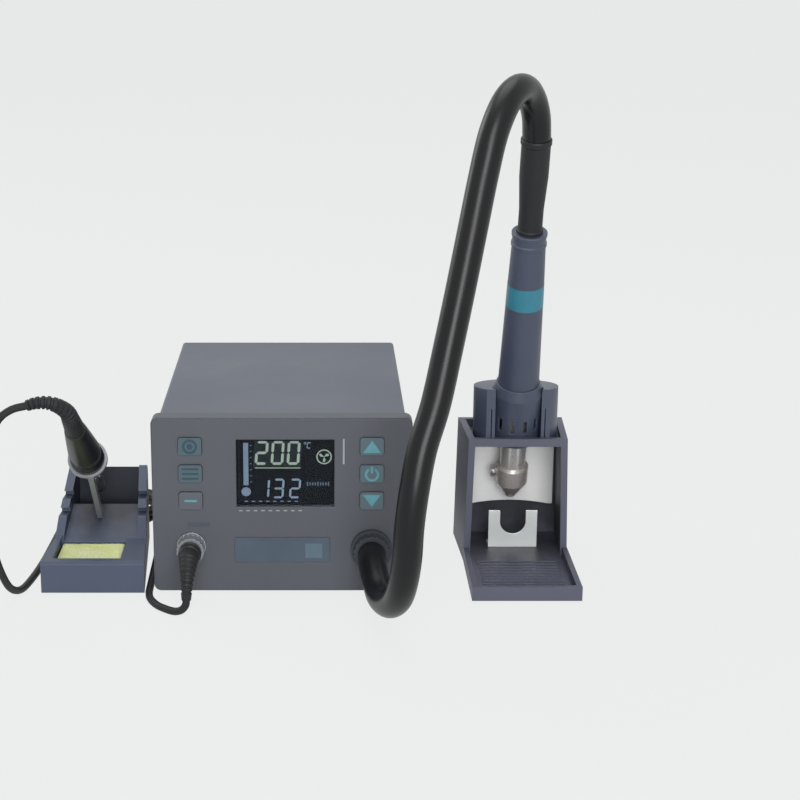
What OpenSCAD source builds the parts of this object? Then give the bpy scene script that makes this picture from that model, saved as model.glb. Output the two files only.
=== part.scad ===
// Two-in-one hot air rework station: case with display, hot air handpiece in its
// stand, and soldering iron in its stand. All lengths in millimetres.
// X to the right, Y to the back, Z up. The desk is the plane z = 0.

/* [Case] */
// Width of the front bezel
bezel_w = 188; // [180:1:220]
// Height of the case above the desk
case_h = 135; // [130:1:160]
// Depth of the case, front face to rear edge of the cover
case_d = 245; // [235:1:290]
// Depth of the front bezel
bezel_d = 14; // [13:0.5:20]
// Corner radius of the bezel
bezel_r = 5; // [3:0.5:8]
// Wall of the moulded bezel
bezel_wall = 3; // [2:0.5:4]
// Step from the bezel side to the cover side
bezel_step = 4; // [3:0.5:6]
// Gap between the bezel and the desk
bezel_gap = 3; // [2:0.5:5]
// Sheet thickness of cover, chassis and rear panel
sheet = 1.2; // [1:0.1:2]
// Height of the rubber feet
foot_h = 6; // [5:0.5:12]
// Radius of the rubber feet
foot_r = 9; // [6:0.5:12]
// Number of cooling slots in each side of the cover
vent_count = 11; // [3:1:14]
// Width of a cooling slot
vent_w = 3; // [2:0.5:4]
// Length of a cooling slot
vent_l = 46; // [20:1:60]

/* [Front panel] */
// Width of the display window
display_w = 71; // [50:1:80]
// Height of the display window
display_h = 51; // [40:1:56]
// Distance of the display centre below the top of the case
display_drop = 41.5; // [38:0.5:44]
// Width of a key cap
key_w = 17; // [12:0.5:20]
// Height of a key cap
key_h = 13; // [9:0.5:15]
// Distance between key centres
key_pitch = 20.5; // [18:0.5:24]
// How far a key goes in
key_travel = 0.8; // [0.4:0.1:1.2]
// Distance of the left controls from the middle of the case
left_x = 66; // [60:0.5:72]
// Distance of the right controls from the middle of the case
right_x = 65; // [60:0.5:72]
// Height of the iron socket above the desk
socket_z = 39; // [34:0.5:44]
// Radius of the iron socket
socket_r = 10.5; // [9:0.5:12]
// Height of the hose outlet above the desk
outlet_z = 36; // [32:0.5:42]
// Outer radius of the air hose
hose_r = 10; // [8:0.5:12]

/* [Blower] */
// Outer radius of the impeller
impeller_r = 40; // [30:1:42]
// Number of impeller blades
blade_count = 22; // [8:1:36]
// Height of the impeller blades
blade_h = 20; // [12:1:24]
// Wall of the blower housing
volute_wall = 2.5; // [2:0.5:4]
// Radius of the motor shaft
shaft_r = 2.5; // [2:0.25:4]

/* [Handpiece] */
// Lean of the handpiece towards the user, in degrees
tool_lean = 18; // [10:1:25]
// Length of the grip
grip_l = 128; // [100:1:150]
// Radius of the grip at the hose end
grip_top_r = 12.3; // [11:0.1:14]
// Radius of the grip above the shroud
grip_low_r = 15.5; // [14:0.1:17]
// Radius of the vented shroud
shroud_r = 19; // [17:0.5:22]
// Length of the vented shroud
shroud_l = 50; // [44:1:70]
// Wall of the shroud
shroud_wall = 2; // [1.5:0.5:3]
// Number of air slots round the shroud
shroud_slots = 12; // [6:1:16]
// Outer radius of the heater tube
heater_r = 10; // [8:0.5:12]
// Length of heater tube below the shroud
heater_out = 28; // [20:1:34]
// Outlet radius of the nozzle
nozzle_r = 3.5; // [2:0.25:6]
// Length of the hose sleeve above the grip
sleeve_l = 73; // [40:1:90]

/* [Handpiece stand] */
// Width of the tray
tray_w = 80; // [72:1:90]
// Depth of the tray in front of the tower
tray_d = 83; // [60:1:95]
// Height of the tray rim
tray_h = 12; // [10:0.5:18]
// Depth of the tower
tower_d = 61; // [56:1:70]
// Height of the tower walls and of its front bar
tower_h = 99; // [96:1:110]
// Wall of the stand moulding
stand_wall = 5; // [4:0.5:7]
// Height of the cradle's ears above the deck
ear_h = 45; // [36:1:54]
// Wall of the cradle
cradle_wall = 13; // [10:0.5:14]

/* [Iron and its stand] */
// Lean of the iron above the desk, in degrees
iron_rise = 35; // [28:1:45]
// Radius of the iron's grip at the ring
iron_grip_r = 12; // [10:0.5:13]
// Length of the iron's grip
iron_grip_l = 70; // [60:1:110]
// Length from the ring to the tip
iron_reach = 84; // [70:1:88]
// Width of the iron stand
rest_w = 76; // [70:1:84]
// Width of the iron stand's back
rest_back_w = 60; // [54:1:84]
// Depth of the iron stand
rest_d = 120; // [106:1:125]
// Height of the iron stand at the front
rest_front_h = 25; // [18:0.5:28]
// Height of the iron stand at the back
rest_back_h = 64; // [56:1:70]
// Width of the cleaning sponge
sponge_w = 48; // [40:1:54]
// Depth of the cleaning sponge
sponge_d = 43; // [30:1:46]
// Thickness of the cleaning sponge
sponge_t = 16; // [8:0.5:18]

/* [Cords] */
// Outer radius of the iron's cord
cord_r = 2.75; // [2:0.25:3.5]
// Turns of cord in the coil, side by side and on each other
coil_columns = 2; // [1:1:3]
// Radius of the coil at the middle of its turns
coil_r = 32; // [28:1:40]

/* [Hidden] */
$fn = 48;
// Running gap between parts that move against each other
gap = 0.3;
// Overlap of a cut past the face it opens
eps = 0.5;

// Places of the three units on the desk
station_at = [-20, -97, 0];
holder_at = [158, -113, 0];
rest_at = [-159.5, -96, 0];

// Case sizes that follow from the driving ones
cover_w = bezel_w - 2 * bezel_step;
cover_top = case_h - bezel_wall - gap;
cover_y = bezel_d - 5;
inner_w = cover_w - 2 * sheet;
floor_z = foot_h + sheet;
panel_y = case_d - 4;
bend_r = 3;
screw_r = 1.5;
foot_x = bezel_w / 2 - 16;
foot_ys = [26, case_d - 26];

// Front panel places
display_x = 2.5;
display_z = case_h - display_drop;
key_zs = [display_z + key_pitch, display_z, display_z - key_pitch];
key_proud = 1.4;
board_y = 17;
board_w = 2 * max(left_x, right_x) + 30;

// Blower places: the volute's outlet lies in line with the hose outlet
volute_r = impeller_r + 5;
volute_grow = 8;
duct_in = 20;
blower_x = right_x - volute_r + duct_in / 2 + 1;
blower_y = 132;
blower_h = blade_h + 12;
blower_z = outlet_z - blower_h / 2;
motor_r = 17;
motor_h = 30;

// Handpiece places, measured up its axis from the lower rim of the shroud
seat_y = tray_d + 26.8;
seat_z = 94;
grip_z = shroud_l;
grip_end = grip_z + grip_l;
collar_l = 14;
cone_l = 14;

// Iron places, measured up its axis from the ring
ring_y = rest_d - 76;
ring_z = 90;
ring_x = -6.5;
ring_r = 14.8;
ring_bore = 11;
ring_t = 3;

module at_station() { translate(station_at) children(); }
module at_holder() { translate(holder_at) children(); }
module at_rest_stand() { translate(rest_at) children(); }

// The handpiece's own axis, standing on its seat in the cradle
module on_tool_axis() {
  at_holder() translate([0, seat_y, seat_z]) rotate([tool_lean, 0, 0]) children();
}

// The iron's own axis, from the ring up towards the user
module on_iron_axis() {
  at_rest_stand() translate([ring_x, ring_y, ring_z]) rotate([90 - iron_rise, 0, 0]) children();
}

// Rectangle with true round corners, centred
module round_rect(w, h, r) {
  square([w - 2 * r, h], center = true);
  square([w, h - 2 * r], center = true);
  for (x = [-1, 1], y = [-1, 1]) translate([x * (w / 2 - r), y * (h / 2 - r)]) circle(r);
}

// Front-view outline in x and z, made solid from y0 to y1
module along_y(y0, y1) {
  translate([0, y1, 0]) rotate([90, 0, 0]) linear_extrude(y1 - y0) children();
}

// Side-view outline in y and z, made solid from x0 to x1
module along_x(x0, x1) {
  translate([x0, 0, 0]) rotate([90, 0, 90]) linear_extrude(x1 - x0) children();
}

// Cylinder lying along Y from y0 to y1
module rod_y(x, z, y0, y1, r) {
  translate([x, y1, z]) rotate([90, 0, 0]) cylinder(h = y1 - y0, r = r);
}

// Ring between two radii
module ring(h, r_out, r_in) {
  difference() {
    cylinder(h = h, r = r_out);
    translate([0, 0, -eps]) cylinder(h = h + 2 * eps, r = r_in);
  }
}

// Case

module foot_places() {
  for (x = [-foot_x, foot_x], y = foot_ys) translate([x, y, 0]) children();
}

module chassis() {
  chassis_l = panel_y - sheet - bezel_d - gap - snug;
  color("dimgray") at_station() difference() {
    union() {
      translate([-inner_w / 2 + gap, bezel_d + gap, foot_h])
        cube([inner_w - 2 * gap, chassis_l, sheet]);
      for (side = [-1, 1])
        translate([side * (inner_w / 2 - gap - sheet / 2) - sheet / 2, bezel_d + gap, foot_h])
          cube([sheet, chassis_l, 14]);
      translate([-inner_w / 2 + gap, bezel_d + gap, foot_h])
        cube([inner_w - 2 * gap, sheet, 13]);
    }
    foot_places() translate([0, 0, foot_h - eps]) cylinder(h = sheet + 2 * eps, r = screw_r + 0.2);
    side_screw_places() rotate([0, 90, 0]) translate([0, 0, -2 * sheet - 2 * gap])
      cylinder(h = 2 * sheet + 2 * gap, r = screw_r + 0.2);
    // Air intake below the blower
    for (i = [-4:4]) translate([blower_x + i * 7 - 1.75, blower_y - 22, foot_h - eps])
      cube([3.5, 44, sheet + 2 * eps]);
  }
}

module cover_outline(inset) {
  w = cover_w - 2 * inset;
  top = cover_top - inset;
  r = max(bend_r - inset, 0.5);
  translate([-w / 2, foot_h]) square([w, top - foot_h - r]);
  translate([-w / 2 + r, foot_h]) square([w - 2 * r, top - foot_h]);
  for (side = [-1, 1]) translate([side * (w / 2 - r), top - r]) circle(r);
}

module top_cover() {
  color("slategray") at_station() difference() {
    along_y(cover_y, case_d) cover_outline(0);
    along_y(cover_y - eps, case_d + eps) union() {
      cover_outline(sheet);
      translate([-inner_w / 2, foot_h - eps]) square([inner_w, 2 * eps]);
    }
    // Cooling slots toward the back of both sides
    for (i = [0:vent_count - 1])
      translate([-cover_w / 2 - eps, case_d - 40 - i * 2.4 * vent_w, case_h / 2 - vent_l / 2])
        cube([cover_w + 2 * eps, vent_w, vent_l]);
    side_screw_places() rotate([0, 90, 0]) translate([0, 0, -sheet - eps])
      cylinder(h = sheet + 2 * eps, r = screw_r + 0.2);
  }
}

// Outer face of the cover at each of its side screws, local +Z pointing out to the right
module side_screw_places() {
  for (y = [bezel_d + 20, case_d - 20]) {
    translate([cover_w / 2, y, foot_h + 8]) children();
    mirror([1, 0, 0]) translate([cover_w / 2, y, foot_h + 8]) children();
  }
}

module rear_panel() {
  color("dimgray") at_station() difference() {
    along_y(panel_y - sheet, panel_y)
      translate([0, (foot_h + cover_top - sheet) / 2 - gap / 2])
        square([inner_w - 2 * gap, cover_top - sheet - foot_h - gap], center = true);
    along_y(panel_y - sheet - eps, panel_y + eps) {
      translate([inlet_x, inlet_z]) square([inlet_w, inlet_h], center = true);
      translate([rocker_x, inlet_z]) square([frame_w, frame_h], center = true);
      translate([fuse_x, inlet_z]) circle(fuse_r);
      translate([earth_x, inlet_z]) circle(earth_r);
      for (i = [0:9], j = [0:1]) translate([vent_x + i * 7, 78 + j * 26]) square([3, 20]);
    }
    rear_screw_places() translate([0, eps, 0]) rotate([90, 0, 0])
      cylinder(h = sheet + 2 * eps, r = screw_r + 0.2);
  }
}

module rear_screw_places() {
  for (x = [-inner_w / 2 + 8, inner_w / 2 - 8], z = [foot_h + 12, cover_top - 12])
    translate([x, panel_y, z]) children();
}

module front_bezel() {
  mid_z = (case_h + bezel_gap) / 2;
  h = case_h - bezel_gap;
  color("slategray") at_station() difference() {
    union() {
      along_y(1, bezel_d) translate([0, mid_z]) round_rect(bezel_w, h, bezel_r);
      along_y(0, 1) translate([0, mid_z]) round_rect(bezel_w - 2, h - 2, bezel_r - 1);
    }
    along_y(bezel_wall, bezel_d + eps) translate([0, mid_z])
      round_rect(bezel_w - 2 * bezel_wall, h - 2 * bezel_wall, max(bezel_r - bezel_wall, 1));
    along_y(-eps, bezel_wall + eps) {
      translate([display_x, display_z]) square([display_w, display_h], center = true);
      for (x = [-left_x, right_x], z = key_zs) translate([x, z])
        round_rect(key_w + 2 * gap, key_h + 2 * gap, 2.3);
      translate([-left_x, socket_z]) circle(socket_r - 1.5);
      translate([right_x, outlet_z]) circle(hose_r + 2);
    }
    // Shallow recess for the title strip
    along_y(-eps, 0.6) translate([0, socket_z - 4]) round_rect(70, 20, 1.5);
  }
}

module display_window() {
  color([0.1, 0.12, 0.2, 0.6]) at_station() along_y(0.8, bezel_wall)
    translate([display_x, display_z])
      square([display_w - 0.2, display_h - 0.2], center = true);
}

module lcd_module() {
  color("darkslateblue") at_station() difference() {
    along_y(bezel_wall + 0.1, board_y - 0.1) translate([display_x, display_z])
      square([display_w + 8, display_h + 8], center = true);
    along_y(bezel_wall, bezel_wall + 1) translate([display_x, display_z])
      square([display_w - 4, display_h - 4], center = true);
  }
}

module display_board() {
  color("darkgreen") at_station() {
    along_y(board_y, board_y + 1.6) translate([0, display_z])
      square([board_w, 3 * key_pitch + 4], center = true);
    for (x = [-left_x, right_x], z = key_zs) along_y(board_y - 4, board_y)
      translate([x, z]) square([6, 6], center = true);
    // Standoffs to the bezel
    for (x = [-board_w / 2 + 5, board_w / 2 - 5], z = [-1, 1])
      rod_y(x, display_z + z * 1.5 * key_pitch, bezel_wall, board_y, 2);
  }
}

module key(x, z) {
  color("lightslategray") at_station() {
    along_y(-key_proud, bezel_wall + gap) translate([x, z]) round_rect(key_w, key_h, 2);
    along_y(bezel_wall + gap, bezel_wall + gap + 1.2) translate([x, z])
      square([key_w + 2.4, key_h + 2.4], center = true);
    rod_y(x, z, bezel_wall + gap + 1.2, board_y - 4 - key_travel - 0.2, 2);
  }
}
module key_l1() { key(-left_x, key_zs[0]); }
module key_l2() { key(-left_x, key_zs[1]); }
module key_l3() { key(-left_x, key_zs[2]); }
module key_r1() { key(right_x, key_zs[0]); }
module key_r2() { key(right_x, key_zs[1]); }
module key_r3() { key(right_x, key_zs[2]); }

module station_feet() {
  color("black") at_station() foot_places() difference() {
    union() {
      cylinder(h = 1, r1 = foot_r - 1, r2 = foot_r);
      translate([0, 0, 1]) cylinder(h = foot_h - 1, r = foot_r);
    }
    translate([0, 0, -eps]) cylinder(h = 3 + eps, r = 3.2);
    translate([0, 0, 2]) cylinder(h = foot_h, r = screw_r);
  }
}

module screw(length) {
  translate([0, 0, 0]) cylinder(h = 1.8, r = 2.8);
  translate([0, 0, -length]) cylinder(h = length, r = screw_r);
}

module case_screws() {
  color("silver") at_station() {
    side_screw_places() rotate([0, 90, 0]) screw(5);
    rear_screw_places() rotate([-90, 0, 0]) screw(5);
  }
}

// Mains parts

trafo_w = 66;
trafo_d = 34;
trafo_h = 56;
trafo_at = [-46, panel_y - 51, floor_z];
ear_l = 6;
leg_w = 22;

module transformer_core() {
  color("gray") at_station() translate(trafo_at) {
    difference() {
      translate([-trafo_w / 2, -trafo_d / 2, 0]) cube([trafo_w, trafo_d, trafo_h]);
      for (side = [-1, 1]) translate([side * trafo_w / 4 - leg_w / 4, -trafo_d, leg_w / 2])
        cube([leg_w / 2, 2 * trafo_d, trafo_h - leg_w]);
    }
    for (side = [-1, 1]) translate([side * (trafo_w + ear_l) / 2 - ear_l / 2, -trafo_d / 2, 0])
      cube([ear_l, trafo_d, 2]);
  }
}

module transformer_winding() {
  reach = leg_w / 2 - 1;
  h = trafo_h - leg_w - 0.6;
  color("darkgoldenrod") at_station() translate(trafo_at)
    translate([0, 0, leg_w / 2 + 0.3]) difference() {
      translate([-leg_w / 2 - reach, -trafo_d / 2 - reach, 0])
        cube([leg_w + 2 * reach, trafo_d + 2 * reach, h]);
      translate([-leg_w / 2 - 0.1, -trafo_d / 2 - 0.1, -eps])
        cube([leg_w + 0.2, trafo_d + 0.2, h + 2 * eps]);
    }
}

pcb_at = [-78, 44, floor_z + 8];
pcb_size = [54, panel_y - 133, 1.6];
sink_l = pcb_size[1] - 62;

module control_board() {
  color("darkgreen") at_station() {
    translate(pcb_at) cube(pcb_size);
    for (x = [5, pcb_size[0] - 5], y = [5, pcb_size[1] - 5])
      translate([pcb_at[0] + x, pcb_at[1] + y, floor_z]) cylinder(h = pcb_at[2] - floor_z, r = 3);
    for (i = [0:3]) translate([pcb_at[0] + 12, pcb_at[1] + 12 + i * 15, pcb_at[2] + pcb_size[2]])
      cylinder(h = 14 + 3 * (i % 2), r = 5);
    translate([pcb_at[0] + 24, pcb_at[1] + 12, pcb_at[2] + pcb_size[2]]) cube([18, 18, 3]);
  }
}

module heatsink() {
  color("silver") at_station()
    translate([pcb_at[0] + 24, pcb_at[1] + 40, pcb_at[2] + pcb_size[2]]) {
      cube([24, sink_l, 3]);
      for (i = [0:6]) translate([i * 3.7, 0, 3]) cube([1.6, sink_l, 24]);
    }
}

inlet_x = 62;
inlet_z = 34;
inlet_w = 27;
inlet_h = 20;

module mains_inlet() {
  color("black") at_station() {
    difference() {
      union() {
        along_y(panel_y, panel_y + 2.5) translate([inlet_x, inlet_z]) round_rect(31, 24, 2);
        along_y(panel_y - 22, panel_y) translate([inlet_x, inlet_z])
          square([inlet_w - 0.2, inlet_h - 0.2], center = true);
      }
      along_y(panel_y - 16, panel_y + 3) translate([inlet_x, inlet_z])
        square([24, 16.5], center = true);
    }
    for (p = [[-7, 2], [0, 6], [7, 2]]) along_y(panel_y - 17, panel_y - 2)
      translate([inlet_x + p[0], inlet_z + p[1] - 2]) square([2, 4], center = true);
  }
}

rocker_x = 24;
frame_w = 19;
frame_h = 27;
rocker_w = 13;
rocker_tilt = 9;
pivot_y = panel_y - 2;

module rocker_frame() {
  color("black") at_station() difference() {
    union() {
      along_y(panel_y, panel_y + 1.8) translate([rocker_x, inlet_z])
        round_rect(frame_w + 2, frame_h + 3, 1.5);
      along_y(panel_y - 18, panel_y) translate([rocker_x, inlet_z])
        square([frame_w - 0.2, frame_h - 0.2], center = true);
    }
    along_y(panel_y - 12, panel_y + 3) translate([rocker_x, inlet_z])
      square([rocker_w + 0.6, frame_h - 4], center = true);
    translate([rocker_x - 8.5, pivot_y, inlet_z]) rotate([0, 90, 0]) cylinder(h = 17, r = 1.55);
  }
}

// Rocker outline in y and z round its pivot: two flat faces that meet in a shallow V
module rocker_outline() {
  polygon([[3.2, 0], [5, 9.6], [1, 10.4], [-4, 4], [-4, -4], [1, -10.4], [5, -9.6]]);
}

module power_rocker() {
  color("firebrick") at_station() translate([rocker_x, pivot_y, inlet_z])
    rotate([rocker_tilt, 0, 0]) {
      along_x(-rocker_w / 2, rocker_w / 2) rocker_outline();
      rotate([0, 90, 0]) translate([0, 0, -8.2]) cylinder(h = 16.4, r = 1.5);
    }
}

fuse_x = -6;
fuse_r = 6.2;

module fuse_holder() {
  color("black") at_station() {
    difference() {
      rod_y(fuse_x, inlet_z, panel_y, panel_y + 8, 8);
      translate([fuse_x - 5, panel_y + 6.5, inlet_z - 0.8]) cube([10, 3, 1.6]);
    }
    rod_y(fuse_x, inlet_z, panel_y - 28, panel_y, fuse_r - 0.1);
  }
}

earth_x = -34;
earth_r = 4.5;

module earth_socket() {
  color("gold") at_station() difference() {
    union() {
      rod_y(earth_x, inlet_z, panel_y, panel_y + 3, 6);
      rod_y(earth_x, inlet_z, panel_y - 16, panel_y, earth_r - 0.1);
    }
    rod_y(earth_x, inlet_z, panel_y - 13, panel_y + 4, 2);
  }
}

vent_x = -80;

// Blower

function spiral_r(a) = volute_r + volute_grow * a / 360;
function spiral_points(add) =
  [for (a = [0:10:360]) let (r = spiral_r(a) + add) [r * cos(a - 90), r * sin(a - 90)]];

module volute_outline(add) {
  polygon(spiral_points(add));
}

// The outlet runs forward from the right-hand side of the spiral
module outlet_outline(add) {
  translate([right_x - blower_x - duct_in / 2 - add, -volute_r - 26])
    square([duct_in + 2 * add, volute_r + 26]);
}

module blower_housing() {
  color("black") at_station() translate([blower_x, blower_y, blower_z]) difference() {
    union() {
      linear_extrude(blower_h) {
        volute_outline(volute_wall);
        outlet_outline(volute_wall);
      }
      for (a = [45:90:315]) rotate(a) translate([volute_r - 8, 0, floor_z - blower_z])
        cylinder(h = blower_z - floor_z, r = 3);
    }
    translate([0, 0, volute_wall]) linear_extrude(blower_h - 2 * volute_wall) volute_outline(0);
    translate([0, -2 * eps, volute_wall]) linear_extrude(blower_h - 2 * volute_wall)
      outlet_outline(0);
    translate([0, 0, -eps]) cylinder(h = volute_wall + 2 * eps, r = impeller_r * 0.6);
    translate([0, 0, blower_h - volute_wall - eps]) cylinder(h = volute_wall + 2 * eps, r = 9);
  }
}

module blower_motor() {
  color("silver") at_station() translate([blower_x, blower_y, blower_z + blower_h])
    difference() {
      union() {
        cylinder(h = 2, r = motor_r + 4);
        cylinder(h = motor_h, r = motor_r);
        translate([0, 0, -volute_wall]) cylinder(h = volute_wall, r = 8.8);
      }
      translate([0, 0, -volute_wall - eps]) cylinder(h = 18, r = shaft_r + 0.05);
    }
}

// One backward-curved blade, swept along an arc in steps
blade_steps = 6;
blade_t = 1.4;
function blade_arc(i, off) =
  let (r = impeller_r * 0.62 + (impeller_r * 0.38 - 0.5) * i / blade_steps,
       a = 28 * i / blade_steps + off / r * 57.3)
  [r * cos(a), r * sin(a)];

module blade() {
  outer = [for (i = [0:blade_steps]) blade_arc(i, blade_t / 2)];
  inner = [for (i = [blade_steps:-1:0]) blade_arc(i, -blade_t / 2)];
  linear_extrude(blade_h) polygon(concat(inner, outer));
}

module impeller() {
  top = blower_h - volute_wall - 1;
  color("white") at_station() translate([blower_x, blower_y, blower_z]) {
    translate([0, 0, top - 2]) difference() {
      cylinder(h = 2, r = impeller_r);
      translate([0, 0, -eps]) cylinder(h = 3, r = shaft_r);
    }
    for (i = [0:blade_count - 1]) rotate(i * 360 / blade_count)
      translate([0, 0, top - 2 - blade_h]) blade();
    translate([0, 0, top - 2 - blade_h]) ring(1.6, impeller_r, impeller_r * 0.62);
    translate([0, 0, top - 12]) cylinder(h = 24, r = shaft_r);
    translate([0, 0, top - 12]) ring(10, 7, shaft_r - 0.2);
  }
}

module air_duct() {
  y_out = blower_y - volute_r - 26;
  h = blower_h - 2 * volute_wall;
  color("dimgray") at_station() difference() {
    union() {
      along_y(y_out - 12, y_out - 0.1) translate([right_x, outlet_z])
        square([duct_in + 2 * volute_wall, blower_h], center = true);
      rod_y(right_x, outlet_z, 32.2, y_out - 12, hose_r + 1);
    }
    along_y(y_out - 9, y_out + 1) translate([right_x, outlet_z])
      square([duct_in, h], center = true);
    rod_y(right_x, outlet_z, 32, y_out - 8, hose_r - 1);
  }
}

// Panel tube with a flange and a ribbed nut, for the air hose
module hose_fitting() {
  color("black") at_station() difference() {
    union() {
      rod_y(right_x, outlet_z, -4, 0, hose_r + 5);
      rod_y(right_x, outlet_z, -12, -4, hose_r + 3.2);
      rod_y(right_x, outlet_z, 0, 32, hose_r + 1.9);
      rod_y(right_x, outlet_z, bezel_wall, bezel_wall + 4, hose_r + 5);
    }
    rod_y(right_x, outlet_z, -13, 33, hose_r - 1.5);
    for (a = [0:20:340]) translate([right_x, -6, outlet_z]) rotate([0, a, 0])
      translate([hose_r + 3.6, 0, 0]) rotate([90, 0, 0]) cylinder(h = 7, r = 1);
  }
}

module iron_socket() {
  color("silver") at_station() difference() {
    union() {
      rod_y(-left_x, socket_z, -4, 0, socket_r);
      rod_y(-left_x, socket_z, 0, 16, socket_r - 1.6);
      rod_y(-left_x, socket_z, bezel_wall, bezel_wall + 3, socket_r + 1);
    }
    rod_y(-left_x, socket_z, -5, 10, 7.2);
  }
}

// Handpiece, drawn along its own axis from the lower rim of the shroud

// Clearance of two pieces that are assembled on one another
snug = 0.1;
shoulder_l = 8;
rim_r = 14;
slot_z = 14;
slot_l = 11;
slot_w = 3.5;
tube_wall = 0.8;
tube_low = -heater_out - collar_l + 2;
nozzle_top = -heater_out;
nozzle_low = nozzle_top - collar_l - cone_l;
// Clamping lug of the nozzle, and its screw
lug_l = 7;
screw_x = -heater_r - 4.75;

module vent_shroud() {
  color("slategray") on_tool_axis() difference() {
    rotate_extrude() polygon([
      [rim_r, 0], [shroud_r - 1, 0], [shroud_r, 1], [shroud_r, shroud_l - shoulder_l],
      [grip_low_r + 1, shroud_l], [heater_r + 2, shroud_l], [heater_r + 2, shroud_l - 3],
      [grip_low_r - 1, shroud_l - 3], [shroud_r - shroud_wall, shroud_l - shoulder_l - 2],
      [shroud_r - shroud_wall, 2], [rim_r, 2]
    ]);
    for (i = [0:shroud_slots - 1]) rotate(i * 360 / shroud_slots + 15)
      translate([-slot_w / 2, -shroud_r - eps, slot_z]) cube([slot_w, shroud_wall + 2 * eps + 1, slot_l]);
  }
}

module heater_tube() {
  color("silver") on_tool_axis() {
    translate([0, 0, tube_low]) ring(shroud_l - tube_low - 1, heater_r, heater_r - tube_wall);
    translate([0, 0, shroud_l - 5]) ring(2 - snug, heater_r + 1.9, heater_r - tube_wall);
  }
}

module heater_core() {
  color("ivory") on_tool_axis() translate([0, 0, 4]) difference() {
    cylinder(h = shroud_l - 6, r = heater_r - tube_wall - snug);
    for (a = [0:60:300]) rotate(a) translate([5, 0, -eps]) cylinder(h = shroud_l, r = 1.6);
    translate([0, 0, -eps]) cylinder(h = shroud_l, r = 1.6);
  }
}

module nozzle() {
  bore = heater_r + 0.05;
  color("silver") on_tool_axis() difference() {
    union() {
      rotate_extrude() polygon([
        [0, nozzle_top], [bore + 2.4, nozzle_top], [bore + 2.4, nozzle_top - collar_l],
        [nozzle_r + 3, nozzle_low + 4], [nozzle_r + 0.8, nozzle_low + 4],
        [nozzle_r + 0.8, nozzle_low], [0, nozzle_low]
      ]);
      translate([-bore - lug_l, -3, nozzle_top - 9]) cube([lug_l, 6, 7]);
    }
    translate([0, 0, nozzle_top - collar_l + 1]) cylinder(h = collar_l, r = bore);
    translate([0, 0, nozzle_top - collar_l - cone_l - eps])
      cylinder(h = collar_l + cone_l, r = nozzle_r);
    translate([0, 0, nozzle_low + 4])
      cylinder(h = cone_l - 3 + 0.01, r1 = nozzle_r, r2 = heater_r - 1);
    translate([-bore - lug_l - eps, -0.6, nozzle_top - 10]) cube([lug_l + 1, 1.2, 11]);
    translate([screw_x, 4, nozzle_top - 5.5]) rotate([90, 0, 0]) cylinder(h = 8, r = 1.3);
  }
}

module nozzle_screw() {
  color("gray") on_tool_axis() translate([screw_x, 0, nozzle_top - 5.5])
    rotate([90, 0, 0]) {
      translate([0, 0, -3]) cylinder(h = 6, r = 1.25);
      translate([0, 0, 3]) cylinder(h = 2, r = 2);
    }
}

band_z = grip_z + 68;
band_l = 18;
band_deep = 0.6;
grip_wall = 2.5;

// Radius of the grip at a height above its lower end
function grip_r(z) = grip_low_r + (grip_top_r - grip_low_r) * z / grip_l;

module grip() {
  color("slategray") on_tool_axis() translate([0, 0, grip_z]) {
    b0 = band_z - grip_z;
    b1 = b0 + band_l;
    rotate_extrude() polygon([
      [heater_r + 2.1, snug], [grip_low_r, snug], [grip_low_r, 3],
      [grip_r(b0), b0], [grip_r(b0) - band_deep, b0], [grip_r(b1) - band_deep, b1],
      [grip_r(b1), b1], [grip_top_r, grip_l - 11], [grip_top_r + 0.6, grip_l - 10.5],
      [grip_top_r + 0.6, grip_l - 8.5], [grip_top_r, grip_l - 8], [grip_top_r, grip_l - 3],
      [grip_top_r + 0.6, grip_l - 2.5], [grip_top_r + 0.6, grip_l - 0.5], [grip_top_r, grip_l],
      [hose_r - 3, grip_l], [hose_r - 3, grip_l - 3],
      [grip_top_r - grip_wall, grip_l - 3], [grip_low_r - grip_wall, 12],
      [heater_r + 2.1, 10]
    ]);
  }
}

module grip_band() {
  b0 = band_z - grip_z;
  b1 = b0 + band_l;
  color("teal") on_tool_axis() translate([0, 0, grip_z]) rotate_extrude() polygon([
    [grip_r(b0) - band_deep + 0.05, b0 + 0.05], [grip_r(b0) + 0.1, b0 + 0.05],
    [grip_r(b1) + 0.1, b1 - 0.05], [grip_r(b1) - band_deep + 0.05, b1 - 0.05]
  ]);
}

sleeve_r = hose_r - 1.2;

module hose_sleeve() {
  color("black") on_tool_axis() translate([0, 0, grip_end]) rotate_extrude() polygon([
    [hose_r - 3, 0], [sleeve_r + 0.8, 0], [sleeve_r + 0.8, 2], [sleeve_r, 3],
    [sleeve_r, 0.25 * sleeve_l], [hose_r + 0.3, 0.6 * sleeve_l], [hose_r + 0.3, sleeve_l - 5],
    [hose_r + 1, sleeve_l - 4], [hose_r + 1, sleeve_l - 1], [hose_r + 0.4, sleeve_l],
    [hose_r - 3, sleeve_l]
  ]);
}

// Handpiece stand

stand_z = 1.5;
tray_floor = 5;
tower_y = tray_d;
tower_back = tray_d + tower_d;
top_half = 37.5;
splay_top = 41;
splay_low = 43;
bar_h = 6;
bar_t = 5;
bar_z = tower_h - bar_h;
deck_t = 4;
deck_z = bar_z - deck_t;
deck_y = tower_y + 13;
// How far the cradle's top falls from the ears to its back
ear_fall = 8;
cradle_r = shroud_r + gap + cradle_wall;
slot_half = 17.5;
shield_y = tower_back - stand_wall - 4;
plate_t = 1.2;
shield_half = top_half - 3;

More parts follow.
